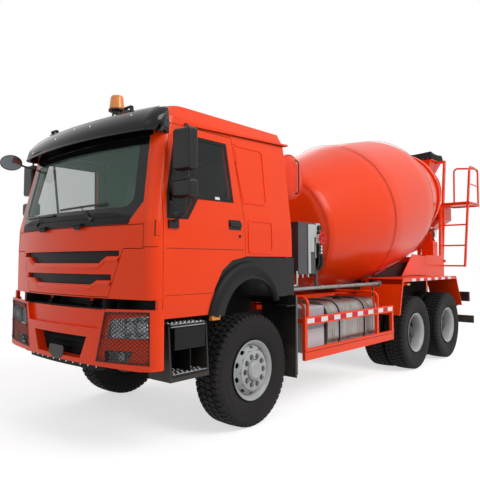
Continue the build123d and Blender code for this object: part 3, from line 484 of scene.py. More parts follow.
def piece(name, bm, made, body, bevel_mm=0.0, smooth=30.0):
    """Makes an object of the mesh under construction, with its finish, and lets it ride on a body."""
    bmesh.ops.recalc_face_normals(bm, faces=bm.faces)
    mesh = bpy.data.meshes.new(name)
    bm.to_mesh(mesh)
    bm.free()
    holder = bpy.data.objects.new(name, mesh)
    bpy.context.collection.objects.link(holder)
    for finish in made if isinstance(made, list) else [made]:
        mesh.materials.append(finish)
    if bevel_mm:
        rounding = holder.modifiers.new("rounding", "BEVEL")
        rounding.width = bevel_mm / 1000
        rounding.segments = 2
        rounding.limit_method = "ANGLE"
    if smooth:
        mesh.shade_smooth()
        mesh.set_sharp_from_angle(angle=radians(smooth))
    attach(holder, body)
    print(name, len(mesh.polygons), "faces on", body)
    return holder


def boxes(name, made, body, *limits, **looks):
    """Makes one piece of several boxes, each given by its six limits."""
    bm = bmesh.new()
    for row in limits:
        add_box(bm, *row)
    return piece(name, bm, made, body, **looks)


def rounded(points, run, steps):
    """A path through points, with a short curve at each corner."""
    points = [Vector(p) for p in points]
    path = points[:1]
    for before, here, after in zip(points, points[1:], points[2:]):
        back, on = before - here, after - here
        reach = min(run, back.length * 0.45, on.length * 0.45)
        start, end = here + back.normalized() * reach, here + on.normalized() * reach
        path += interpolate_bezier(start, start.lerp(here, 0.55), end.lerp(here, 0.55), end, steps)
    return path + points[-1:]


def pipe(name, points, radius, made, body, sides=4, round_mm=0.0):
    """A bent pipe: a curve through the points, with its bends rounded when a radius is given."""
    path = rounded(points, round_mm, 7) if round_mm else points
    curve = bpy.data.curves.new(name, "CURVE")
    curve.dimensions = "3D"
    curve.bevel_depth = radius / 1000
    curve.bevel_resolution = sides
    curve.use_fill_caps = True
    line = curve.splines.new("POLY")
    line.points.add(len(path) - 1)
    for point, p in zip(line.points, path):
        point.co = (*at(*p), 1)
    line.use_smooth = True
    holder = bpy.data.objects.new(name, curve)
    bpy.context.collection.objects.link(holder)
    curve.materials.append(made)
    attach(holder, body)
    print(name, "bent through", len(points), "points on", body)


# %% [markdown]
# A truck tyre with a block tread has two rows of shoulder lugs and two rows of middle blocks, parted by
# grooves about 15 mm deep. It could be a texture, but the notches show in the outline, so they are in
# the mesh: a ring of quads whose rows drop by the groove's depth wherever a groove runs.

# %% Tyres
front_axle = 1514
rear_axles = (5421, 6771)
front_wheel_x, inner_wheel_x, outer_wheel_x = 1020, 745, 1085
tyre_radius = 561
lug_count = 54
groove_depth = 15
# One side of the section, from the bead to the crown. Columns: half width, radius, row kind.
tyre_section = [(104, 264, ""), (118, 300, ""), (137, 342, ""), (139, 347, ""), (151, 390, ""), (156, 430, ""),
                (155, 466, ""), (156.5, 470, ""), (152, 490, ""), (150, 508, ""), (146, 522, "lug"),
                (136, 549, "lug"), (126, 555, "lug"), (88, 557.5, "lug"), (84, 543, ""), (72, 544, ""),
                (68, 558.5, "block"), (14, 560.5, "block"), (9, 547, ""), ]
# Steps round one lug, as shares of its pitch. Columns: share, in the lug's groove, in the block's groove.
tread_steps = [(0.0, 0, 0), (0.06, 1, 0), (0.27, 1, 0), (0.33, 0, 0), (0.5, 0, 0), (0.56, 0, 1), (0.74, 0, 1),
               (0.8, 0, 0)]


def tyre_mesh(bm, x, y, turned):
    """Adds one tyre about a wheel's middle. Turned is the tread's slant, 1 or -1."""
    section = tyre_section + [(-a, r, kind) for a, r, kind in reversed(tyre_section)]
    rows = []
    for lug in range(lug_count):
        for share, in_lug, in_block in tread_steps:
            row = []
            for a, r, kind in section:
                deep = (kind == "lug" and in_lug) or (kind == "block" and in_block)
                skew = 0.35 * turned * a / 140 if kind else 0.0
                angle = 2 * pi * (lug + share + skew) / lug_count
                radius = r - groove_depth if deep else r
                place = at(x + a, y + radius * cos(angle), tyre_radius + radius * sin(angle))
                row.append(bm.verts.new(place))
            rows.append(row)
    bridge(bm, rows, loop=True)


for side, word in halves:
    wheels = [("tyre_front_" + word, "wheel_front_" + word, front_axle, (front_wheel_x,))]
    wheels += [("tyres_" + axle + "_" + word, "wheels_" + axle + "_" + word, y, (inner_wheel_x, outer_wheel_x))
               for axle, y in zip(("mid", "rear"), rear_axles)]
    for node, body, y, places in wheels:
        bm = bmesh.new()
        for x in places:
            tyre_mesh(bm, side * x, y, side)
        made = piece("treaded_" + node, bm, tyre_rubber, body, smooth=35)
        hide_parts(node)

# %% [markdown]
# Printed borders, tapes, pressed panels and wire guards follow curved skins. Working each curve out again
# would drift from the CAD, so a flat outline is cut into small cells, and every corner is dropped onto the
# CAD piece's own surface with a ray, then lifted off it by a chosen height.

# %% Laying a sheet on a skin
from mathutils.bvhtree import BVHTree
from mathutils.geometry import tessellate_polygon


def skin_of(*names):
    """A search tree of these CAD pieces' surfaces."""
    corners, faces = [], []
    for name in names:
        mesh = nodes[name].data
        start = len(corners)
        corners += [v.co.copy() for v in mesh.vertices]
        faces += [[start + k for k in polygon.vertices] for polygon in mesh.polygons]
    return BVHTree.FromPolygons(corners, faces)


def drop(tree, way, u, v, lift):
    """The place on a skin under (u, v), lifted towards the viewer. Way 0 looks along Y, 1 and -1 along X."""
    start = at(u, -900, v) if way == 0 else at(way * 2000, u, v)
    line = Vector((0, 1, 0)) if way == 0 else Vector((-way, 0, 0))
    hit = tree.ray_cast(start, line)[0]
    if hit is None:
        hit = tree.find_nearest(start + line * 1.1)[0]
    return hit - line * lift / 1000


def sheet(bm, loops, spot, lift, thick, cell):
    """Adds a sheet of an outline and its holes. Spot says where (u, v) lies when lifted by a height."""
    flat = bmesh.new()
    rows = [[Vector((u, 0, v)) for u, v in loop] for loop in loops]
    corners = [flat.verts.new(p) for row in rows for p in row]
    for triangle in tessellate_polygon(rows):
        flat.faces.new([corners[k] for k in triangle])
    for axis in (0, 2):
        low = min(v.co[axis] for v in flat.verts)
        high = max(v.co[axis] for v in flat.verts)
        normal = Vector((1, 0, 0)) if axis == 0 else Vector((0, 0, 1))
        for k in range(1, int((high - low) / cell) + 1):
            everything = flat.verts[:] + flat.edges[:] + flat.faces[:]
            bmesh.ops.bisect_plane(flat, geom=everything, plane_co=normal * (low + k * cell), plane_no=normal)
    flat.verts.index_update()
    outer, inner = [[bm.verts.new(spot(v.co.x, v.co.z, height)) for v in flat.verts]
                    for height in (lift, lift - thick)]
    for face in flat.faces:
        bm.faces.new([outer[v.index] for v in face.verts])
        bm.faces.new([inner[v.index] for v in reversed(face.verts)])
    for edge in flat.edges:
        if len(edge.link_faces) == 1:
            a, b = [v.index for v in edge.verts]
            bm.faces.new((outer[a], outer[b], inner[b], inner[a]))
    flat.free()


def lay(bm, loops, tree, way=0, lift=1.0, thick=2.0, cell=60):
    """Lays a sheet, given by its outline and its holes, on a skin. Lift is to its outer face."""
    sheet(bm, loops, lambda u, v, height: drop(tree, way, u, v, height), lift, thick, cell)


def box_of(low_u, high_u, low_v, high_v):
    """The outline of an upright rectangle."""
    return [(low_u, low_v), (high_u, low_v), (high_u, high_v), (low_u, high_v)]


def both_sides(half):
    """A whole outline from its left half, which starts and ends on the middle."""
    return half + [(-u, v) for u, v in reversed(half) if u > 0]


# %% [markdown]
# The windscreen is bonded in, so its rim is printed with black ceramic that hides the glue. It is a layer
# of its own on the glass: a sheet with a hole, a millimetre proud. The plastic cowl below it has louvres.

# %% Windscreen border and cowl
black_ceramic = moulded("printed_black_ceramic", "#0b0c0c", 40, 0.12, depth=0.0)
glass_skin = skin_of("windscreen")
front_skin = skin_of("windscreen", "front_flap", "cab_shell", "door_left", "door_right")
glass_edge = both_sides([(0, 2000), (922, 2000), (1040, 2172), (978, 2762), (0, 2762)])
clear_edge = both_sides([(0, 2128), (850, 2128), (905, 2150), (938, 2205), (893, 2670), (870, 2694), (0, 2694)])
bm = bmesh.new()
lay(bm, [glass_edge, clear_edge], glass_skin, lift=1.2, thick=2.5)
piece("windscreen_border", bm, black_ceramic, "cab")

bm = bmesh.new()
cowl = both_sides([(0, 1975), (915, 1975), (935, 1990), (925, 2050), (700, 2086), (0, 2092)])
lay(bm, [cowl], front_skin, lift=9, thick=14)
for k in range(-13, 14):
    x = k * 62
    lay(bm, [box_of(x - 24, x + 24, 2040, 2052)], front_skin, lift=13, thick=5, cell=200)
piece("windscreen_cowl", bm, grained_abs, "cab", bevel_mm=3)

# %% [markdown]
# Each wiper is a sprung arm on a spindle through the cowl, with a rubber blade held by a bridge. The arms
# are bars that taper at a hinge; the blades follow the glass, so their places are dropped on its skin.

# %% Wipers
def wiper(bm, spindle, elbow, left, right):
    """Adds one wiper: spindle cap, arm to the blade's middle, bridge and blade."""
    root = drop(front_skin, 0, *spindle, 12)
    hinge = drop(front_skin, 0, *elbow, 30)
    middle = drop(front_skin, 0, (left[0] + right[0]) / 2, (left[1] + right[1]) / 2, 26)
    for start, end, radius in ((root, hinge, 9), (hinge, middle, 5.5)):
        line = end - start
        ring = bmesh.ops.create_cone(bm, cap_ends=True, segments=8, radius1=radius / 1000,
                                     radius2=radius * 0.7 / 1000, depth=line.length)["verts"]
        turn = line.to_track_quat("Z", "Y").to_matrix().to_4x4()
        bmesh.ops.transform(bm, matrix=Matrix.Translation(start + line / 2) @ turn, verts=ring)
    cap = bmesh.ops.create_cone(bm, cap_ends=True, segments=16, radius1=0.024, radius2=0.018,
                                depth=0.03)["verts"]
    bmesh.ops.transform(bm, matrix=Matrix.Translation(root) @ Matrix.Rotation(pi / 2, 4, "X"), verts=cap)
    steps = 14
    for k in range(steps):
        for lift, tall in ((9, 4), (17, 9)):
            a, b = [drop(front_skin, 0, *Vector(left).lerp(Vector(right), n / steps), lift) for n in (k, k + 1)]
            half = Vector((0, 0, tall / 1000))
            deep = Vector((0, 0.004, 0))
            corners = [bm.verts.new(p) for p in (a - half - deep, b - half - deep, b + half - deep,
                                                 a + half - deep, a - half + deep, b - half + deep,
                                                 b + half + deep, a + half + deep)]
            for face in ((0, 1, 2, 3), (7, 6, 5, 4), (0, 4, 5, 1), (3, 2, 6, 7), (0, 3, 7, 4), (1, 5, 6, 2)):
                bm.faces.new([corners[j] for j in face])


bm = bmesh.new()
wiper(bm, (-520, 2030), (-440, 2075), (-880, 2120), (-170, 2108))
wiper(bm, (470, 2035), (380, 2100), (-60, 2150), (650, 2168))
piece("wipers", bm, smooth_abs, "cab", smooth=40)

# %% [markdown]
# The visor is one blown sheet, so it has no edges inside: the CAD's flat bands are welded and shaded smooth.
# It is held by domed screws, two lamp brackets stand on its top edge, and its rolled lip catches the light.

# %% Visor
bm = bmesh.new()
bm.from_mesh(nodes["sun_visor"].data)
bmesh.ops.remove_doubles(bm, verts=bm.verts[:], dist=0.0001)
everything = bm.verts[:] + bm.edges[:] + bm.faces[:]
bmesh.ops.bisect_plane(bm, geom=everything, plane_co=at(0, 395, 0), plane_no=(0, 1, 0), clear_outer=True)
bmesh.ops.holes_fill(bm, edges=[edge for edge in bm.edges if edge.is_boundary], sides=0)
made = piece("visor_sheet", bm, smoked_acrylic, "cab", smooth=60)
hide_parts("sun_visor")
visor_skin = skin_of("sun_visor")
bm = bmesh.new()
for x, z in ((-840, 2840), (-279, 2899), (291, 2935), (811, 2966), (560, 3010), (-560, 2990), (0, 2960)):
    spot = drop(visor_skin, 0, x, z, 1)
    made = bmesh.ops.create_uvsphere(bm, u_segments=12, v_segments=6, radius=0.011)["verts"]
    bmesh.ops.transform(bm, matrix=Matrix.Translation(spot) @ Matrix.Scale(0.5, 4, (0, 1, 0)), verts=made)
piece("visor_screws", bm, bright_steel, "cab")
bm = bmesh.new()
for x in (-700, 640):
    spot = drop(visor_skin, 0, x, 3040, 0)
    y = (spot.y - shift_y) * 1000
    add_box(bm, x - 62, x + 62, y - 6, y + 60, 3036, 3058)
    add_box(bm, x - 50, x - 38, y + 4, y + 44, 3050, 3092)
    add_box(bm, x + 38, x + 50, y + 4, y + 44, 3050, 3092)
    add_box(bm, x - 56, x + 56, y + 2, y + 34, 3084, 3100)
piece("visor_brackets", bm, smooth_abs, "cab", bevel_mm=3)
lip = [box_of(x - 70, x + 70, 2790, 2802) for x in range(-980, 981, 140)]
bm = bmesh.new()
for loop in lip:
    lay(bm, [loop], visor_skin, lift=5, thick=6, cell=70)
piece("visor_lip", bm, smoked_acrylic, "cab")

# %% [markdown]
# The door glass sits in a rubber channel, drawn as a black sheet with the window's own hole. The handle
# is a grip over a recessed dish, with a key lock behind it.

# %% Door trim
window_hole = [(352, 2052), (552, 2057), (636, 2168), (700, 2250), (1168, 2256), (1124, 2782), (492, 2782),
               (362, 2240)]
window_frame = [(318, 2022), (566, 2027), (650, 2138), (706, 2220), (1200, 2227), (1152, 2814), (472, 2814),
                (332, 2240)]
for side, word in halves:
    door_skin = skin_of("door_" + word, "door_glass_" + word)
    bm = bmesh.new()
    lay(bm, [window_frame, window_hole], door_skin, way=side, lift=2.5, thick=5, cell=70)
    lay(bm, [[(655, 2180), (684, 2180), (575, 2790), (546, 2790)]], door_skin, way=side, lift=3, thick=5,
        cell=70)
    piece("window_channel_" + word, bm, mud_rubber, "door_" + word)
    if side > 0:
        bm = bmesh.new()
        lay(bm, [box_of(936, 1000, 2238, 2264)], door_skin, way=1, lift=3.5, thick=3, cell=70)
        piece("blank_label", bm, white_tape, "door_left")
    bm = bmesh.new()
    lay(bm, [box_of(1104, 1284, 1958, 2056)], door_skin, way=side, lift=2, thick=4, cell=60)
    lay(bm, [box_of(1112, 1276, 1990, 2030)], door_skin, way=side, lift=20, thick=8, cell=40)
    for y in (1112, 1256):
        lay(bm, [box_of(y, y + 20, 1986, 2034)], door_skin, way=side, lift=14, thick=16, cell=40)
    spot = drop(door_skin, side, 1264, 1899, 0)
    add_disc(bm, (spot.x * 1000, 1264, 1899), (side, 0, 0), 17, 5, 20, 2)
    piece("door_handle_" + word, bm, smooth_abs, "door_" + word, bevel_mm=3)

# %% [markdown]
# Thin side panels are stiffened by pressing a shallow step into them. On this cab two such fields lie
# behind the door, and creases run along the belt and above the sill. A step only shows by its rim, so
# each is a narrow painted ring a few millimetres proud with a soft bevel.

# %% Pressed fields and creases
# The creases and the cab's corner seams are thin dark strips of painted shade.
seam_shade = sprayed_paint("shaded_seam_orange", "#6e2108")
wall_skin = skin_of("cab_shell")
for side, word in halves:
    bm = bmesh.new()
    for low_y, high_y, low_z, high_z in ((1316, 1731, 2238, 2838), (1392, 1797, 1733, 2079)):
        slope = 0.125 if low_z > 2200 else 0.0
        ring = [(low_y + 26, low_z), (high_y - 26, low_z), (high_y, low_z + 26), (high_y, high_z - 26),
                (high_y - 26, high_z), (low_y + 26, high_z), (low_y, high_z - 26), (low_y, low_z + 26)]
        ring = [(y - slope * (z - low_z) * (y < low_y + 30), z) for y, z in ring]
        middle_y, middle_z = (low_y + high_y) / 2, (low_z + high_z) / 2
        share_y, share_z = 1 - 44 / (high_y - low_y), 1 - 44 / (high_z - low_z)
        hole = [(middle_y + (y - middle_y) * share_y, middle_z + (z - middle_z) * share_z) for y, z in ring]
        lay(bm, [ring, hole], wall_skin, way=side, lift=8, thick=8, cell=100)
    piece("pressed_fields_" + word, bm, orange_paint, "cab", bevel_mm=4)
    door_skin = skin_of("door_" + word)
    bm = bmesh.new()
    lay(bm, [box_of(306, 1326, 1764, 1770)], door_skin, way=side, lift=0.8, thick=1, cell=110)
    lay(bm, [box_of(306, 880, 1362, 1366)], door_skin, way=side, lift=0.8, thick=1, cell=110)
    piece("door_creases_" + word, bm, seam_shade, "door_" + word)
    bm = bmesh.new()
    for low_x, high_x, low_z, high_z in ((1176, 1181, 1868, 2004), (1176, 1196, 1868, 1873),
                                         (1092, 1194, 1773, 1779)):
        lay(bm, [box_of(side * low_x, side * high_x, low_z, high_z)], wall_skin,
            lift=3, thick=3, cell=10)
    piece("corner_seams_" + word, bm, seam_shade, "cab")

# %% [markdown]
# The front flap has two black slots with a folded lip below each. A pressed lip has a sloped top, a rounded
# nose and a return; here it is a strip of faces that follows the slot's lower edge, lifted off the skin in
# steps, so that light draws the bright line under each slot.

# %% Lips under the grille slots
flap_skin = skin_of("front_flap", "cab_shell")


def lip_under(bm, edge, rows):
    """Adds a strip that follows an edge of (x, z) points. Rows say how far down and how far out it goes."""
    points = []
    for (x0, z0), (x1, z1) in zip(edge, edge[1:]):
        steps = max(1, int(hypot(x1 - x0, z1 - z0) / 60))
        points += [(x0 + (x1 - x0) * k / steps, z0 + (z1 - z0) * k / steps) for k in range(steps)]
    points.append(edge[-1])
    sheets = [[bm.verts.new(drop(flap_skin, 0, x * (1 - down / 2600), z - down, lift)) for x, z in points]
              for down, lift in rows]
    bridge(bm, sheets)


def slot_edge(half, shoulder, wide, low, narrow):
    """The lower edge of a slot, from right to left."""
    right = [(-half, shoulder), (-wide, shoulder), (-narrow, low), (0, low)]
    return right + [(-x, z) for x, z in reversed(right[:-1])]


lip_rows = [(2, -1), (6, 6), (20, 15), (30, 18), (40, 15), (47, 4), (50, -1)]
bm = bmesh.new()
lip_under(bm, slot_edge(838, 1700, 690, 1634, 585), lip_rows)
lip_under(bm, slot_edge(744, 1488, 568, 1442, 482), lip_rows)
piece("grille_lips", bm, orange_paint, "flap", smooth=50)

# %% [markdown]
# Between the cab and the bumper one looks into shade: a dark plastic radiator screen closes it, partly in its
# own colour and partly as painted shade. Behind the low intake sits expanded metal. Both are dark, so only
# their edges and a few bars need to be shaped. Two dark plates of painted shade cover the arms on which the
# cab tilts.

# %% Dark screens behind the openings
# The radiator screen's darkness is partly its own plastic and partly painted shade.
bm = bmesh.new()
add_box(bm, -1140, 1140, 262, 274, 1050, 1340)
for z in range(1080, 1330, 36):
    add_box(bm, -1140, 1140, 252, 264, z, z + 8)
for x in (-790, 782):
    add_box(bm, x, x + 8, 120, 250, 1120, 1330)
piece("radiator_shade_screen", bm, grained_abs, "chassis", bevel_mm=2)
bm = bmesh.new()
add_box(bm, -470, 470, 112, 118, 770, 1000)
for k in range(-15, 16):
    add_bar(bm, (k * 30, 106, 776), (k * 30 + 60, 106, 996), 3.2, 6)
    add_bar(bm, (k * 30, 109, 996), (k * 30 + 60, 109, 776), 3.2, 6)
piece("intake_mesh", bm, grained_abs, "chassis", smooth=0)
bm = bmesh.new()
for x in (-700, 690):
    add_box(bm, x, x + 10, 40, 235, 1232, 1330)
add_box(bm, -690, 690, 60, 235, 1232, 1240)
piece("bumper_top_tray", bm, grained_abs, "chassis", bevel_mm=2)
# Dark plates of painted shade over the tilt arms.
arm_shade_outline = [(105, 1237), (131, 1269), (268, 1600), (332, 1600), (214, 1237)]
bm = bmesh.new()
for side in (1, -1):
    add_plate(bm, [(side * 328, y, z) for y, z in arm_shade_outline], (side * 54, 0, 0))
piece("tilt_arm_shade_plates", bm, grained_abs, "cab")

# %% [markdown]
# The header above the glass is painted black under the visor as painted shade, so the glass seems to run up
# behind it. Two small covers sit over the flap's hinges.

# %% Header and hinge covers
bm = bmesh.new()
# A black sheet of painted shade where the visor shades the header.
header = both_sides([(0, 2764), (979, 2764), (1046, 2790), (1040, 2862), (0, 2862)])
lay(bm, [header], skin_of("cab_shell", "windscreen"), lift=2, thick=4)
piece("visor_shade_header", bm, smooth_abs, "cab")
bm = bmesh.new()
for x in (-315, 315):
    add_box(bm, x - 52, x + 52, -8, 34, 1974, 1998)
    add_box(bm, x - 52, x + 52, -8, 6, 1944, 1990)
piece("hinge_covers", bm, grained_abs, "cab", bevel_mm=5)

# %% [markdown]
# A headlamp is a clear cover over a bright bowl. The cover is a thin sheet at the bezel's face; the bowls
# are turned shapes with a bulb, and a fluted reflector fills the rest. The CAD's lamp blocks are replaced.

# %% Lamps
def bumper_y(x):
    """How far back the bumper's face is at x: a shallow bow, then the short rounded end."""
    x = abs(x)
    return x * x / 10400 if x < 1150 else 127 + (x - 1150) * 0.43


def bumper_sheet(bm, outline, lift, thick, cell=40):
    """Adds a sheet of (x, z) outline that follows the bumper's bow. Lift is forwards."""
    sheet(bm, [outline], lambda x, z, out: at(x, bumper_y(x) - out, z), lift, thick, cell)


def mirror_line(outline, side):
    """An outline on the left, or its mirror image on the right."""
    return [(side * x, z) for x, z in outline]


lamp_outline = [(745, 1147), (800, 1166), (1160, 1204), (1182, 1190), (1172, 1030), (1150, 1014), (706, 988),
                (694, 1000)]
fog_outline = [(696, 883), (1000, 898), (1012, 885), (968, 812), (945, 800), (696, 798)]
chrome = bare_metal("vacuum_coated_reflector", "#a4a8ab", 0.2, 30, depth=0.0)
bulb_glass = moulded("frosted_bulb", "#f2efe4", 8, 0.2, second="#ffffff")
for side, word in halves:
    bm = bmesh.new()
    bumper_sheet(bm, mirror_line(lamp_outline, side), -9, 3)
    bumper_sheet(bm, mirror_line([p for p in fog_outline if p[0] > 730] + [(745, 798), (745, 884)], side), -9,
                 3)
    covers = piece("lamp_covers_" + word, bm, lamp_glass, "chassis", smooth=60)
    bm = bmesh.new()
    for x, z, radius in ((1106, 1104, 66), (964, 1088, 60), (880, 846, 36)):
        y = bumper_y(x) + 20
        bowl = [(0, radius), (-14, radius * 0.86), (-34, radius * 0.55), (-46, 14), (-46, 10),
                (-38, radius * 0.55), (-18, radius * 0.92), (-2, radius + 4)]
        add_turned(bm, bowl, (side * x, y, z), (0, -1, 0.02), 28)
    for k in range(8):
        for j in range(8 + (k % 2)):
            x, z = 752 + k * 18, 1022 + j * 18 - 9 * (k % 2)
            diamond = ((-18, 0), (0, -9), (18, 0), (0, 9))
            a = [bm.verts.new(at(side * (x + dx), bumper_y(x) + 30, z + dz)) for dx, dz in diamond]
            b = bm.verts.new(at(side * x, bumper_y(x) + 28, z))
            for m in range(4):
                bm.faces.new((a[m], a[(m + 1) % 4], b))
    for low_x, high_x, low_z, high_z in ((1030, 1040, 1010, 1180), (906, 914, 1004, 1170)):
        y = bumper_y(low_x)
        add_box(bm, side * low_x, side * high_x, y + 14, y + 60, low_z, high_z)
    bumper_sheet(bm, mirror_line(lamp_outline, side), -56, 3)
    piece("lamp_reflectors_" + word, bm, chrome, "chassis", smooth=40)
    bm = bmesh.new()
    for x, z, radius in ((1106, 1104, 16), (964, 1088, 15), (880, 846, 11)):
        y = bumper_y(x)
        add_turned(bm, [(0, 0.01), (2, radius * 0.7), (12, radius), (24, radius * 0.7), (28, 0.01)],
                   (side * x, y + 58, z), (0, -1, 0), 14, closed=False)
    piece("lamp_bulbs_" + word, bm, bulb_glass, "chassis")
    bm = bmesh.new()
    bumper_sheet(bm, mirror_line([(696, 883), (742, 885), (742, 798), (696, 798)], side), -8, 12)
    bumper_sheet(bm, mirror_line(fog_outline, side), -52, 3)
    piece("fog_blank_" + word, bm, grained_abs, "chassis", bevel_mm=1)
    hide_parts("headlamps")

# %% [markdown]
# Steel wire guards with a diamond weave protect the lamps. Each wire is a thin strip of its own, so two
# families of slanted wires are clipped to the guard's outline and follow the bumper's bow.

# %% Wire guards
guard_outline = [(706, 1212), (1190, 1230), (1196, 812), (606, 790)]


def span_in(outline, start, step):
    """Where a slanted line enters and leaves an outline, as two points, or nothing."""
    hits = []
    for (x0, z0), (x1, z1) in zip(outline, outline[1:] + outline[:1]):
        edge = Vector((x1 - x0, z1 - z0))
        det = step.x * edge.y - step.y * edge.x
        if abs(det) > 1e-9:
            gap = Vector((x0, z0)) - start
            share = (gap.x * step.y - gap.y * step.x) / det
            if 0 <= share <= 1:
                hits.append((gap.x * edge.y - gap.y * edge.x) / det)
    return (start + step * min(hits), start + step * max(hits)) if len(hits) > 1 else None


def wire(bm, start, end, side, lift, half):
    """Adds one flat wire that follows the bumper."""
    steps = max(1, int((end - start).length / 60))
    line = [start.lerp(end, k / steps) for k in range(steps + 1)]
    across = Vector((-(end - start).y, (end - start).x)).normalized() * half
    rows = [[bm.verts.new(at(side * p.x, bumper_y(p.x) - out, p.y)) for p in (q - across, q + across)
             for out in (lift, lift - 3)] for q in line]
    for near, far in zip(rows, rows[1:]):
        for a, b in ((0, 2), (2, 3), (3, 1), (1, 0)):
            bm.faces.new((near[a], near[b], far[b], far[a]))


guard_steel = sprayed_paint("powder_coated_guard_wire", "#171210", dust_most=0.3, roughness=0.5, coat=0.1)
for side, word in halves:
    bm = bmesh.new()
    for k in range(-10, 26):
        for slope, lift in ((0.67, 3.0), (-0.67, 5.0)):
            found = span_in(guard_outline, Vector((560 + k * 49, 1000)), Vector((1, slope)).normalized())
            if found and (found[1] - found[0]).length > 12:
                wire(bm, *found, side, lift, 2.0)
    for a, b in zip(guard_outline, guard_outline[1:] + guard_outline[:1]):
        wire(bm, Vector(a), Vector(b), side, 6, 5)
    for x, z in ((724, 1196), (1176, 1212), (1180, 828), (630, 806), (664, 1000), (1186, 1010)):
        add_disc(bm, (side * x, bumper_y(x) - 4, z), (0, -1, 0), 10, 5, 10, 2)
    piece("lamp_guard_" + word, bm, guard_steel, "chassis", smooth=30)

# %% [markdown]
# A dark cover plate with cut corners closes the towing jaw; it is blank. A black lip hangs under the
# bumper with a row of screws.

# %% Low cover and lip
bm = bmesh.new()
cover = [(-132, 858), (-112, 872), (96, 872), (116, 858), (116, 790), (60, 748), (-60, 748), (-132, 790)]
add_plate(bm, [(x, -6, z) for x, z in cover], (0, 12, 0))
piece("towing_cover", bm, moulded("weathered_grey_abs", "#4b4a47", 8, 0.55), "chassis", bevel_mm=4)
bm = bmesh.new()
lower_lip = [(-640, 748), (640, 748), (610, 700), (-610, 700)]
bumper_sheet(bm, lower_lip, -36, 5, 80)
bumper_sheet(bm, [(-610, 712), (610, 712), (600, 700), (-600, 700)], -30, 60, 80)
piece("bumper_lip", bm, grained_abs, "chassis", smooth=30)
bm = bmesh.new()
for x in range(-560, 561, 112):
    add_disc(bm, (x, bumper_y(x) + 36, 728), (0, -1, 0), 9, 4, 10, 2)
piece("lip_screws", bm, bright_steel, "chassis")

# %% [markdown]
# A disc wheel is a rolled rim with a spun disc welded in. The disc's cone has ten hand holes, its flat face
# ten wheel nuts on one circle, and a cap closes the hub. Front and rear wheels are the same wheel turned
# round: at the rear the disc lies deep inside the outer rim, so the barrel shows its painted inside.

# %% Wheel rims
hand_holes = 10
stud_circle = 142
rim_barrel = [(141, 298), (143, 294), (139, 287), (127, 274), (112, 260), (98, 251), (-98, 251), (-127, 274),
              (-139, 287), (-143, 294), (-141, 298), (-132, 297), (-111, 263.5), (111, 263.5), (132, 297)]


def holed_cone(bm, x0, r0, x1, r1, wall, centre, side):
    """Adds a cone between two rings, with hand holes right through it. Wall is its thickness inwards."""
    def on_cone(turn, share, deep):
        radius = r0 + (r1 - r0) * share
        along = x0 + (x1 - x0) * share - deep
        return at(centre[0] + side * along, centre[1] + radius * cos(turn), centre[2] + radius * sin(turn))
    pitch = 2 * pi / hand_holes
    count = 16
    for hole in range(hand_holes):
        loops = []
        for deep in (0, wall):
            frame_row, hole_row = [], []
            for k in range(count):
                a = 2 * pi * (k + 0.5) / count
                u, v = cos(a), sin(a)
                stretch = 0.5 / max(abs(u), abs(v))
                edge = on_cone(pitch * (hole + 0.5 + u * stretch), 0.5 + v * stretch, deep)
                frame_row.append(bm.verts.new(edge))
                hole_row.append(bm.verts.new(on_cone(pitch * (hole + 0.5 + 0.2 * u), 0.46 + 0.27 * v, deep)))
            loops.append((frame_row, hole_row))
        for k in range(count):
            j = (k + 1) % count
            for frame_row, hole_row in loops:
                bm.faces.new((frame_row[k], frame_row[j], hole_row[j], hole_row[k]))
            bm.faces.new((loops[0][1][k], loops[0][1][j], loops[1][1][j], loops[1][1][k]))


def wheel_nuts(bm, x, centre, side):
    """Adds ten flanged hexagon nuts with their stud ends."""
    for dy, dz in on_circle(10, stud_circle):
        spot = (centre[0] + side * x, centre[1] + dy, centre[2] + dz)
        add_turned(bm, [(0, 0.01), (0, 21), (4, 20), (5, 0.01)], spot, (side, 0, 0), 18)
        add_turned(bm, [(4, 0.01), (4, 16), (19, 16), (22, 13), (22, 0.01)], spot, (side, 0, 0), 6)
        add_turned(bm, [(20, 0.01), (20, 10), (27, 9), (28, 0.01)], spot, (side, 0, 0), 12)


def stud_shade(bm, x, centre, side):
    """Adds the shaded countersinks round the nuts."""
    for dy, dz in on_circle(10, stud_circle):
        spot = (centre[0] + side * x, centre[1] + dy, centre[2] + dz)
        add_turned(bm, box_of(-2, 1.2, 27, 19), spot, (side, 0, 0), 20)


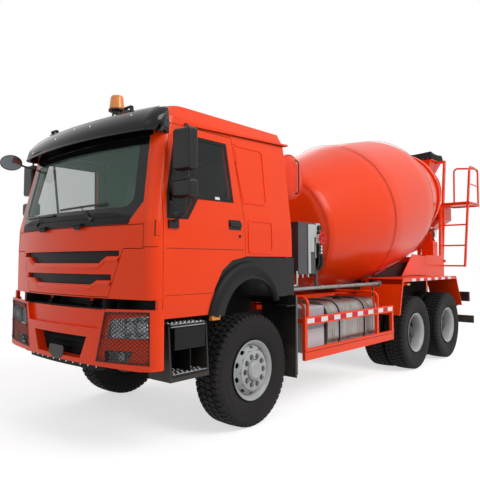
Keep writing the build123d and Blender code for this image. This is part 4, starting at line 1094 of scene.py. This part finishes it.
nut_steel = bare_metal("zinc_plated_nut", "#8f9192", 0.4, 7, soil="#5d5852")
shade_black = moulded("shaded_countersink", "#191817", 9, 0.7)
for side, word in halves:
    centre = (side * front_wheel_x, front_axle, tyre_radius)
    bm = bmesh.new()
    add_turned(bm, rim_barrel, centre, (side, 0, 0), 64)
    holed_cone(bm, 84, 251, 142, 200, 12, centre, side)
    face = [(142, 200), (149, 197), (152, 190), (152, 110), (138, 108), (138, 182), (130, 200)]
    add_turned(bm, face, centre, (side, 0, 0), 48)
    add_turned(bm, [(40, 104), (162, 102), (172, 94), (176, 84), (181, 80), (184, 74), (182, 64),
                    (182.5, 0.01)], centre, (side, 0, 0), 40, closed=False)
    made = piece("rim_disc_front_" + word, bm, silver_paint, "wheel_front_" + word, smooth=40)
    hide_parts("rim_front_" + word)
    bm = bmesh.new()
    wheel_nuts(bm, 153, centre, side)
    piece("wheel_nuts_front_" + word, bm, nut_steel, "wheel_front_" + word, smooth=30)
    bm = bmesh.new()
    # Dark rings of painted shade sit round the nuts, and a dark sleeve of painted shade fills the rim behind
    # the disc's hand holes.
    stud_shade(bm, 152, centre, side)
    add_turned(bm, [(-76, 200), (-76, 186), (30, 186), (30, 96), (44, 96), (44, 198)], centre, (side, 0, 0), 32)
    piece("stud_shade_front_" + word, bm, shade_black, "wheel_front_" + word)
    # The rear discs are dark grey: dust, and painted shade deep inside the outer rim.
    dust_and_shade_disc = sprayed_paint("dust_and_shade_disc_" + word, "#4b4a48", dust_tone="#4d4740", dust_most=0.6,
                               roughness=0.6, coat=0.0)
    for axle, y in zip(("mid", "rear"), rear_axles):
        body = "wheels_" + axle + "_" + word
        outer, inner = [(side * x, y, tyre_radius) for x in (outer_wheel_x, inner_wheel_x)]
        bm = bmesh.new()
        for middle in (outer, inner):
            add_turned(bm, rim_barrel, middle, (side, 0, 0), 64)
        made = piece("rim_barrel_" + axle + "_" + word, bm, silver_paint, body, smooth=40)
        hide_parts("rims_" + axle + "_" + word)
        bm = bmesh.new()
        for middle, facing in ((outer, side), (inner, -side)):
            holed_cone(bm, -20, 251, -144, 182, 12, middle, facing)
            add_turned(bm, [(-144, 182), (-152, 176), (-153, 100), (-166, 100), (-166, 186)], middle,
                       (facing, 0, 0), 48)
        add_turned(bm, [(-156, 98), (10, 96), (36, 92), (40, 84), (52, 80), (66, 74), (72, 64), (80, 60),
                        (80, 0.01)], outer, (side, 0, 0), 40, closed=False)
        piece("rim_disc_" + axle + "_" + word, bm, dust_and_shade_disc, body, smooth=40)
        bm = bmesh.new()
        wheel_nuts(bm, -152, outer, side)
        for dy, dz in on_circle(8, 86):
            add_disc(bm, (outer[0] + side * 38, y + dy, tyre_radius + dz), (side, 0, 0), 7, 7, 6)
        piece("wheel_nuts_" + axle + "_" + word, bm, nut_steel, body, smooth=30)
        bm = bmesh.new()
        drum_shape = [(-145, 212), (-145, 196), (130, 196), (130, 96), (150, 96), (150, 212)]
        add_turned(bm, drum_shape, inner, (side, 0, 0), 32)
        piece("brake_drum_" + axle + "_" + word, bm, cast_iron, body)

# %% [markdown]
# The step treads are pressed aluminium: a plate whose punched holes stand up as sharp collars, so a boot
# grips in mud. Each hole is a small turned ring on a thin plate with a bright folded nose. The well behind
# the treads is black plastic with a few bolts.

# %% Step treads and wells
tread_metal = bare_metal("pressed_aluminium_tread", "#a9abab", 0.42, 5, soil="#5e5a55")


def grip_tread(bm, x0, x1, y0, y1, z, rows, side):
    """Adds one tread: a plate with rows of collars."""
    add_box(bm, side * x0, side * x1, y0, y1, z - 4, z)
    add_box(bm, side * (x1 - 5), side * (x1 + 3), y0, y1, z - 26, z + 2)
    columns = int((y1 - y0) / 46)
    for row in range(rows):
        x = x0 + (x1 - x0) * (row + 0.5) / rows
        for k in range(columns):
            y = y0 + (y1 - y0) * (k + 0.5 + 0.25 * (row % 2)) / columns
            if y < y1 - 16:
                add_turned(bm, [(0, 14), (7, 12), (8, 10), (7, 9), (0, 10)], (side * x, y, z), (0, 0, 1), 10)


for side, word in halves:
    bm = bmesh.new()
    grip_tread(bm, 1070, 1244, 330, 728, 1124, 3, side)
    grip_tread(bm, 1010, 1236, 356, 762, 704, 4, side)
    piece("step_treads_" + word, bm, tread_metal, "chassis", smooth=40)
    boxes("step_well_" + word, grained_abs, "chassis", (side * 1000, side * 1012, 350, 770, 700, 1092),
          (side * 1120, side * 1236, 380, 748, 900, 1092), (side * 1012, side * 1236, 560, 572, 700, 900),
          (side * 1150, side * 1240, 352, 768, 688, 699), (side * 1226, side * 1243, 344, 770, 676, 700),
          bevel_mm=6)
    bm = bmesh.new()
    for y, z in ((620, 858), (640, 822), (612, 784), (700, 850)):
        add_disc(bm, (side * 1013, y, z), (side, 0, 0), 9, 6, 8, 3)
    piece("step_bolts_" + word, bm, bright_steel, "chassis")

# %% [markdown]
# The wheel arch is black moulded plastic with a rolled flare. The flare's section is a soft half round that
# runs from the arch's foot over the wheel and narrows to the rear. An amber marker lamp sits at its foot.

# %% Arch flares and liners
arch_y, arch_z = 1450, 1035
# Columns: angle round the arch's centre in degrees, outer and inner radius.
flare_edge = [(29, 478, 420), (45, 530, 436), (62, 572, 446), (82, 610, 452), (103, 630, 458), (130, 642, 466),
              (170, 654, 474)]
# Columns: share of the way from the outer to the inner radius, distance from the truck's middle.
flare_section = [(0.0, 1188), (0.04, 1214), (0.16, 1232), (0.38, 1240), (0.62, 1238), (0.84, 1228),
                 (0.96, 1210), (1.0, 1180)]


def between(table, at_value):
    """Values of a table's row at this place, read between its rows."""
    for low, high in zip(table, table[1:]):
        if at_value <= high[0]:
            share = (at_value - low[0]) / (high[0] - low[0])
            return [a + (b - a) * share for a, b in zip(low[1:], high[1:])]
    return list(table[-1][1:])


for side, word in halves:
    bm = bmesh.new()
    rows = []
    for angle in range(29, 170, 4):
        outer, inner = between(flare_edge, angle)
        turn = radians(angle)
        rows.append([bm.verts.new(at(side * x, arch_y + r * cos(turn), arch_z + r * sin(turn)))
                     for r, x in [(outer + (inner - outer) * share, x) for share, x in flare_section]])
    bridge(bm, rows)
    for ends in (rows[0], rows[-1]):
        bm.faces.new(ends)
    piece("arch_flare_" + word, bm, grained_abs, "cab", smooth=50)
    boxes("arch_marker_" + word, amber_lens, "cab", (side * 1186, side * 1234, 836, 950, 1114, 1166),
          bevel_mm=8)
    boxes("arch_liner_" + word, mud_rubber, "chassis", (side * 598, side * 604, 900, 2150, 1070, 1540),
          (side * 560, side * 1150, 2150, 2158, 1184, 1540), (side * 760, side * 1236, 2160, 2172, 1182, 1284))
    bm = bmesh.new()
    add_plate(bm, [(side * 1236, 2154, 1284), (side * 1248, 2154, 1284), (side * 1252, 2154, 430),
                   (side * 1226, 2154, 400)], (0, 14, 0))
    piece("mudflap_edge_" + word, bm, moulded("mudflap_edging_" + word, "#77756f", 12, 0.7), "chassis",
          bevel_mm=2)

# %% [markdown]
# Red and white reflective tape is cut in equal lengths and stuck along the guards. Each length is its own
# thin strip, laid out by a loop, so the pattern starts and ends white as on the real bars.

# %% Reflective tape and marker lamps
def tape_run(name, x, start, end, low, high, count):
    """Lays tape on both sides of the truck: a run of equal lengths, white at both ends."""
    step = (end - start) / count
    for made, first, word in ((white_tape, 0, "white"), (red_tape, 1, "red")):
        bm = bmesh.new()
        for side in (1, -1):
            for k in range(first, count, 2):
                add_box(bm, side * x, side * (x + 1.5), start + k * step, start + (k + 1) * step, low, high)
        piece(name + "_" + word, bm, made, "chassis", smooth=0)


tape_run("guard_tape", 1248, 2362, 4530, 958, 1012, 15)
tape_run("mudguard_tape", 1245, 5247, 6927, 1353, 1394, 11)
bm = bmesh.new()
for side in (1, -1):
    add_box(bm, side * 1240, side * 1262, 5050, 5146, 1296, 1326)
piece("mudguard_markers", bm, amber_lens, "chassis", bevel_mm=8)

# %% [markdown]
# The side guard is welded from folded channel. Bent tubes carry it from the frame, one at its front end and two
# at its rear. Behind it the mudguard's front panel closes the space over the tank.

# %% Guard tubes and panels
for side, word in halves:
    for k, (y, x, z, reach, radius) in enumerate(((2400, 1176, 1184, 900, 15), (4118, 1228, 1238, 574, 19),
                                                  (4118, 1172, 1182, 574, 15))):
        pipe("guard_tube_%d_" % k + word, [(side * x, y, 1010), (side * x, y, z), (side * reach, y, z)], radius,
             orange_paint, "chassis", round_mm=80)
    bm = bmesh.new()
    hood = [(4918, 1388), (4923, 1405), (7182, 1398), (7456, 861), (7446, 858), (7174, 1390), (4930, 1397)]
    add_plate(bm, [(side * 700, y, z) for y, z in hood], (side * 545, 0, 0))
    add_plate(bm, [(side * 1237, y, z) for y, z in ((4923, 1405), (7182, 1398), (7202, 1350), (4946, 1350),
                                                    (4811, 869), (4776, 869))], (side * 8, 0, 0))
    add_plate(bm, [(side * 500, 4897, 1310), (side * 1240, 4897, 1310), (side * 1240, 4776, 869),
                   (side * 500, 4776, 869)], (0, 9, 0))
    add_plate(bm, [(side * 500, 4905, 1312), (side * 1240, 4905, 1312), (side * 1240, 5050, 1312),
                   (side * 500, 5050, 1312)], (0, 0, -6))
    add_box(bm, side * 500, side * 1237, 5044, 5052, 1306, 1398)
    guards = piece("mudguard_hood_" + word, bm, orange_paint, "chassis", bevel_mm=2)
    if side < 0:
        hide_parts("rear_mudguards")
    bm = bmesh.new()
    add_box(bm, side * 1246, side * 1255, 2318, 4564, 648, 674)
    add_box(bm, side * 1246, side * 1252, 2318, 4564, 552, 562)
    for y in (4923, 7182):
        add_bar(bm, (side * 1243, y, 1400), (side * 1243, y + (-147 if y < 6000 else 274), 865), 6, 8)
    add_bar(bm, (side * 1243, 4923, 1402), (side * 1243, 7182, 1396), 6, 8)
    piece("guard_panels_" + word, bm, orange_paint, "chassis", bevel_mm=4)
    # Dark rubber sheets of painted shade close the mudguard's inside and underside, and a thin dark strip of
    # painted shadow runs under the side guard's top channel.
    bm = bmesh.new()
    add_box(bm, side * 688, side * 698, 4930, 7180, 1010, 1392)
    add_plate(bm, [(side * 705, 4934, 1388), (side * 1238, 4934, 1388), (side * 1238, 7172, 1382),
                   (side * 705, 7172, 1382)], (0, 0, -6))
    add_box(bm, side * 1247, side * 1249, 2340, 4540, 640, 646)
    piece("mudguard_shade_liner_" + word, bm, mud_rubber, "chassis", smooth=0)

# %% [markdown]
# The fuel tank is rolled aluminium sheet with beads pressed round it. Straps of galvanised steel hold it,
# each on a rubber strip. The box in front of it holds the batteries, under a moulded lid.

# %% Fuel tank and battery box
def tank_outline(grow):
    """The tank's section grown by a distance: square inside, well rounded outside."""
    points = []
    for x, z, radius, first in ((1150, 1160, 170, 0), (560, 1160, 40, 90), (560, 560, 40, 180),
                                (1150, 560, 170, 270)):
        cx = x - radius if x > 800 else x + radius
        cz = z - radius if z > 800 else z + radius
        points += [(cx + (radius + grow) * cos(radians(first + k * 15)),
                    cz + (radius + grow) * sin(radians(first + k * 15))) for k in range(7)]
    return points


def tank_band(bm, y0, y1, low, high):
    """Adds a band round the tank between two distances from its sheet."""
    rings = [[bm.verts.new(at(x, y, z)) for x, z in tank_outline(grow)]
             for y, grow in ((y0, low), (y0, high), (y1, high), (y1, low))]
    bridge(bm, rings, ring=True, loop=True)


bm = bmesh.new()
for y in (2954, 3062, 3110, 3420, 3468, 3700, 3748, 4070, 4118, 4238):
    tank_band(bm, y - 7, y + 7, -2, 4)
piece("tank_beads", bm, aluminium, "chassis", bevel_mm=3)
bm = bmesh.new()
for y in (3250, 3900):
    tank_band(bm, y - 21, y + 21, 8, 12)
    add_bar(bm, (1155, y, 700), (1168, y, 700), 12, 6)
piece("tank_straps", bm, galvanised, "chassis", bevel_mm=1)
bm = bmesh.new()
for y in (3250, 3900):
    tank_band(bm, y - 34, y + 34, 0, 8)
add_turned(bm, [(0, 62), (30, 62), (34, 56), (34, 0.01)], (930, 3560, 1156), (0, 0, 1), 24, closed=False)
add_box(bm, 880, 980, 3548, 3572, 1190, 1204)
for y in (3140, 3820):
    add_box(bm, 700, 1010, y - 34, y + 34, 1158, 1176)
piece("tank_rubber", bm, mud_rubber, "chassis", bevel_mm=2)
box_lid = moulded("battery_lid_grey", "#a9a8ac", 9, 0.55, second="#b9b8bc")
box_base = moulded("battery_box_grey", "#c2c1c4", 9, 0.55, second="#cfced1")
boxes("battery_lid", box_lid, "chassis", (594, 1132, 2506, 2912, 866, 1126), bevel_mm=24)
boxes("battery_box", box_base, "chassis", (596, 1128, 2510, 2908, 596, 872), bevel_mm=10)

# %% [markdown]
# The drum is rolled from sheet: a dished front, a cone, a cylinder and a long rear cone, welded at each
# change and ground smooth under glossy paint. A turned profile with rounded corners gives that soft change
# of light; a thin bead marks each weld. It rides on the turning body, so the seams show that it turns.

# %% Drum
drum_tilt = radians(12.4)
drum_axis = (0, cos(drum_tilt), sin(drum_tilt))
drum_front = (0, 3500, 2094)


def softened(points, run):
    """Rounds the corners of a flat profile by short curves."""
    return [(p.x, p.y) for p in rounded([(along, radius, 0) for along, radius in points], run, 9)]


outside = [(-290, 240), (-275, 300), (-110, 600), (0, 862), (1450, 1168), (2975, 1168), (4200, 790),
           (4950, 580)]
inside = [(4950, 570), (4200, 780), (2975, 1158), (1450, 1158), (10, 850), (-98, 590), (-260, 290),
          (-262, 0.01)]
bm = bmesh.new()
add_turned(bm, softened(outside, 260) + softened(inside, 200), drum_front, drum_axis, 96, closed=False)
add_turned(bm, [(-350, 0.01), (-350, 250), (-300, 250), (-285, 200)], drum_front, drum_axis, 48, closed=False)
add_turned(bm, [(4155, 786), (4155, 844), (4161, 850), (4239, 850), (4245, 844), (4245, 762)], drum_front,
           drum_axis, 96)
add_turned(bm, [(4925, 582), (4925, 606), (4960, 606), (4960, 572)], drum_front, drum_axis, 96)
made = piece("drum_shell", bm, drum_paint, "drum", smooth=32)
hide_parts("mixing_drum")
bm = bmesh.new()
for along, radius in ((6, 858), (1450, 1164), (2975, 1164), (4120, 812)):
    add_turned(bm, [(along - 9, radius), (along, radius + 5), (along + 9, radius)], drum_front, drum_axis, 96)
piece("drum_welds", bm, sprayed_paint("painted_weld_bead", "#c2330c"), "drum", smooth=60)
bm = bmesh.new()
turn = Vector(drum_axis).to_track_quat("Z", "Y").to_matrix()
for u, v in on_circle(16, 218):
    spot = Vector(drum_front) + turn @ Vector((u, v, -352))
    add_turned(bm, [(0, 0.01), (0, 15), (-14, 15), (-14, 0.01)], spot, drum_axis, 6)
piece("drum_flange_bolts", bm, nut_steel, "drum", smooth=30)

# %% [markdown]
# The ladder is square tube with round rungs, up to a folded deck with punched grip holes. A hoop of bent
# tube stands on the deck's rear edge and is tied to the long outer stile.

# %% Ladder and deck
def strut(bm, start, end, wide, deep):
    """Adds a square-cut tube between two points."""
    line = Vector(end) - Vector(start)
    turn = line.to_track_quat("Z", "Y").to_matrix()
    corners = []
    for share in (0, 1):
        for u, v in ((-1, -1), (1, -1), (1, 1), (-1, 1)):
            spot = Vector(start) + line * share + turn @ Vector((u * wide / 2, v * deep / 2, 0))
            corners.append(bm.verts.new(at(*spot)))
    for face in ((3, 2, 1, 0), (4, 5, 6, 7), (0, 1, 5, 4), (1, 2, 6, 5), (2, 3, 7, 6), (3, 0, 4, 7)):
        bm.faces.new([corners[k] for k in face])


bm = bmesh.new()
strut(bm, (1046, 8310, 1556), (1178, 8310, 3480), 58, 34)
strut(bm, (606, 8310, 1556), (672, 8310, 2826), 40, 30)
for z in (1575, 1985, 2400):
    share = (z - 1556) / 1924
    add_bar(bm, (610 + share * 80, 8310, z), (1046 + share * 132, 8310, z), 17, 10)
add_box(bm, 640, 1160, 8296, 8952, 2822, 2830)
for x0, x1, y0, y1 in ((640, 646, 8296, 8952), (1154, 1160, 8296, 8952), (640, 1160, 8296, 8302),
                       (640, 1160, 8946, 8952)):
    add_box(bm, x0, x1, y0, y1, 2800, 2862)
for x in range(690, 1130, 74):
    for y in range(8350, 8930, 74):
        add_turned(bm, [(0, 20), (7, 18), (7, 13), (0, 13)], (x, y, 2829), (0, 0, 1), 10)
add_box(bm, 600, 672, 8264, 8312, 1640, 1700)
deck = piece("ladder_frame", bm, drum_paint, "chassis", bevel_mm=3)
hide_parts("ladder")
pipe("deck_hoop", [(656, 8940, 2860), (668, 8940, 3660), (1146, 8940, 3600), (1140, 8940, 2860)], 19,
     drum_paint, "chassis", sides=5, round_mm=90)
pipe("deck_rail", [(1174, 8312, 3430), (1180, 8330, 3560), (1150, 8600, 3590), (1146, 8940, 3560)], 17,
     drum_paint, "chassis", sides=5, round_mm=120)
pipe("deck_middle_rail_0", [(1164, 8312, 3220), (1140, 8940, 3220)], 13, drum_paint, "chassis")

# %% [markdown]
# The charge hopper's rim is a bolted belt of rubber that bows up at its corners. Under the drum, dark plates
# of painted shade close the space between the frame and the far mudguard, and gussets brace the rear pedestal.

# %% Hopper rim and plates of painted shade
bm = bmesh.new()
rows = []
for wide, y0, y1, low in ((474, 8186, 8832, 3792), (480, 8178, 8840, 3860), (462, 8196, 8822, 3952),
                          (446, 8212, 8806, 3956), (440, 8220, 8800, 3800)):
    ring = []
    for (ax, ay), (bx, by) in (((-1, 0), (1, 0)), ((1, 0), (1, 1)), ((1, 1), (-1, 1)), ((-1, 1), (-1, 0))):
        for k in range(8):
            share = k / 8
            x, y = (ax + (bx - ax) * share), (ay + (by - ay) * share)
            sag = 26 * sin(pi * share) if low > 3900 else 0
            ring.append(bm.verts.new(at(x * wide, y0 + y * (y1 - y0), low - sag)))
    rows.append(ring)
bridge(bm, rows, ring=True, loop=True)
made = piece("hopper_belt", bm, mud_rubber, "chassis", bevel_mm=6, smooth=60)
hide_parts("hopper_rim")
bm = bmesh.new()
for k in range(9):
    for y in (8184, 8838):
        add_disc(bm, (-400 + k * 100, y, 3812), (0, -1 if y < 8500 else 1, 0), 9, 5, 8, 2)
piece("hopper_bolts", bm, nut_steel, "chassis")
# Dark plates of painted shade stand under the drum between the frame and the far mudguard.
bm = bmesh.new()
for x in (-640, 560):
    add_plate(bm, [(x, 4700, 1192), (x, 7300, 1192), (x, 7300, 1680), (x, 6400, 1640), (x, 5600, 1480),
                   (x, 4700, 1290)], (6, 0, 0))
piece("shade_plates_under_drum", bm, sprayed_paint("shaded_splash_plate_red", "#35100c", roughness=0.6, coat=0.0),
      "chassis")
bm = bmesh.new()
for side in (1, -1):
    add_plate(bm, [(side * 640, y, z) for y, z in ((6229, 1405), (6700, 1796), (7300, 1760), (7300, 1405))],
              (side * 14, 0, 0))
piece("pedestal_gussets", bm, drum_paint, "chassis", bevel_mm=3)

# %% [markdown]
# The oil cooler is a painted cabinet with a seam, a valve plate with gauges and a red hand wheel, and
# rigid bent lines to the motor. The long galvanised pipe behind it has couplings and a flange at its end.

# %% Cooler, valves and pipes
bm = bmesh.new()
add_box(bm, 688, 1053, 2478, 2836, 1812, 1822)
add_box(bm, 684, 1056, 2476, 2838, 2108, 2124)
add_box(bm, 686, 1055, 2478, 2837, 1506, 1518)
for y in (2500, 2812):
    for z in (1560, 1780, 1860, 2080):
        add_disc(bm, (1050, y, z), (1, 0, 0), 7, 3, 6, 1)
piece("cooler_trim", bm, grey_paint, "chassis", bevel_mm=2)
boxes("valve_plate", pale_paint, "chassis", (1000, 1058, 2842, 2856, 1700, 2126),
      (1052, 1058, 2842, 2950, 1880, 2126), (1053, 1062, 2681, 2732, 1512, 2106),
      (1053, 1062, 2732, 2868, 1950, 2106), (1053, 1066, 2732, 2806, 1770, 1950),
      (1096, 1104, 2368, 2392, 1372, 1545), (1096, 1104, 2166, 2400, 1372, 1392), bevel_mm=2)
bm = bmesh.new()
for y, z, radius in ((2908, 2068, 34), (2886, 2010, 20), (2900, 1850, 30)):
    add_turned(bm, [(0, 0.01), (0, radius), (26, radius), (30, radius * 0.9), (26, radius * 0.8), (24, 0.01)],
               (1058, y, z), (1, 0, 0), 20, closed=False)
add_box(bm, 1040, 1092, 2872, 2926, 1760, 1850)
add_box(bm, 1010, 1050, 2848, 2944, 1560, 1700)
piece("valve_block", bm, smooth_abs, "chassis", bevel_mm=4)
bm = bmesh.new()
for z in (1762, 1800, 1838):
    add_turned(bm, [(0, 16), (26, 16), (30, 12), (30, 0.01)], (1088, 2892, z), (1, 0, 0), 6, closed=False)
add_bar(bm, (1058, 2901, 1940), (1120, 2901, 1940), 10, 10)
for y, z in ((2520, 1500), (2620, 1498), (2740, 1500)):
    add_bar(bm, (1010, y, z + 20), (1010, y, z - 34), 15, 8)
piece("valve_fittings", bm, bright_steel, "chassis", smooth=40)
bm = bmesh.new()
ring = [(118 + u, 66 + v) for u, v in on_circle(8, 9)]
add_turned(bm, ring, (1000, 2901, 1940), (1, 0, 0), 28)
for dy, dz in on_circle(3, 64):
    add_bar(bm, (1118, 2901, 1940), (1118, 2901 + dy, 1940 + dz), 7, 8)
add_disc(bm, (1112, 2901, 1940), (1, 0, 0), 18, 12, 14, 2)
piece("hand_wheel", bm, moulded("red_hand_wheel", "#c8141c", 20, 0.3), "chassis", smooth=50)
for k, (y, bow, low) in enumerate(((2868, 2900, 1500), (2892, 2960, 1470), (2918, 2986, 1520))):
    pipe("cooler_line_%d" % k, [(1068, y, 1780), (1074, bow, 1700), (1050, bow, 1560), (940, y - 40, low)], 15,
         chassis_paint, "chassis", round_mm=70)
bm = bmesh.new()
for y in (2990, 3420, 3880, 4180, 4420):
    add_turned(bm, [(0, 21), (0, 29), (46, 29), (46, 21)], (1020, y, 1334), (0, 1, 0), 16)
add_turned(bm, [(0, 0.01), (0, 46), (16, 46), (16, 0.01)], (1020, 4560, 1334), (0, 1, 0), 20)
for dx, dz in on_circle(6, 34):
    add_disc(bm, (1020 + dx, 4576, 1334 + dz), (0, 1, 0), 6, 6, 6)
piece("pipe_couplings", bm, galvanised, "chassis", smooth=40)
pipe("long_pipe", [(1020, 2250, 1330), (1020, 2900, 1334), (1020, 4566, 1334)], 24, galvanised, "chassis",
     sides=5)

# %% [markdown]
# The front mirror looks down at the bumper: a dished shell on a bent tube, with convex glass in a rim. The
# beacon is an amber dome on a black foot; the water tank has bands, dished ends and a dark level tube.

# %% Front mirror, beacon and water tank
mirror_facing = Vector((0.533, -0.25, -0.806)).normalized()
mirror_spot = (-1147, 54, 2766)
beacon_x, beacon_y = 320, 420
bm = bmesh.new()
add_turned(bm, [(-34, 0.01), (-30, 50), (-14, 96), (4, 116), (12, 118), (14, 114), (8, 110)], mirror_spot,
           mirror_facing, 36, closed=False)
made = piece("front_mirror_shell", bm, smooth_abs, "cab", smooth=50)
pipe("front_mirror_arm", [(-1060, 345, 2732), (-1150, 285, 2724), (-1166, 170, 2752), (-1150, 84, 2800)], 11,
     smooth_abs, "cab", round_mm=60)
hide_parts("front_mirror")
bm = bmesh.new()
add_turned(bm, [(9, 111), (13, 80), (16, 40), (17, 0.01)], mirror_spot, mirror_facing, 36, closed=False)
piece("front_mirror_glass", bm, mirror_glass, "cab", smooth=60)
bm = bmesh.new()
add_turned(bm, [(0, 0.01), (0, 74), (26, 76), (34, 74), (118, 66), (138, 58), (146, 36), (148, 0.01)],
           (beacon_x, beacon_y, 3150), (0, 0, 1), 32, closed=False)
made = piece("beacon_dome", bm, amber_lens, "cab", smooth=50)
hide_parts("beacon")
bm = bmesh.new()
add_turned(bm, [(0, 0.01), (0, 50), (118, 50), (118, 84), (134, 84), (136, 0.01)], (beacon_x, beacon_y, 3020),
           (0, 0, 1), 28, closed=False)
piece("beacon_foot", bm, smooth_abs, "cab", smooth=40)
bm = bmesh.new()
add_turned(bm, [(0, 0.01), (0, 40), (8, 52), (60, 46), (72, 30), (72, 0.01)], (beacon_x, beacon_y, 3160),
           (0, 0, 1), 20, closed=False)
piece("beacon_lamp", bm, chrome, "cab", smooth=50)
tank_middle = (2530, 2676)
bm = bmesh.new()
for x in (-886, -520, 520, 886):
    add_turned(bm, [(-22, 266), (-22, 273), (22, 273), (22, 266)], (x, *tank_middle), (1, 0, 0), 48)
for side in (1, -1):
    add_turned(bm, [(896, 268), (930, 240), (954, 160), (962, 0.01)], (0, *tank_middle), (side, 0, 0), 48,
               closed=False)
piece("water_tank_rings", bm, water_paint, "chassis", smooth=40)
pipe("level_tube", [(905, 2600, 2470), (985, 2600, 2480), (985, 2600, 2870), (905, 2600, 2890)], 7, smooth_abs,
     "chassis", round_mm=40)
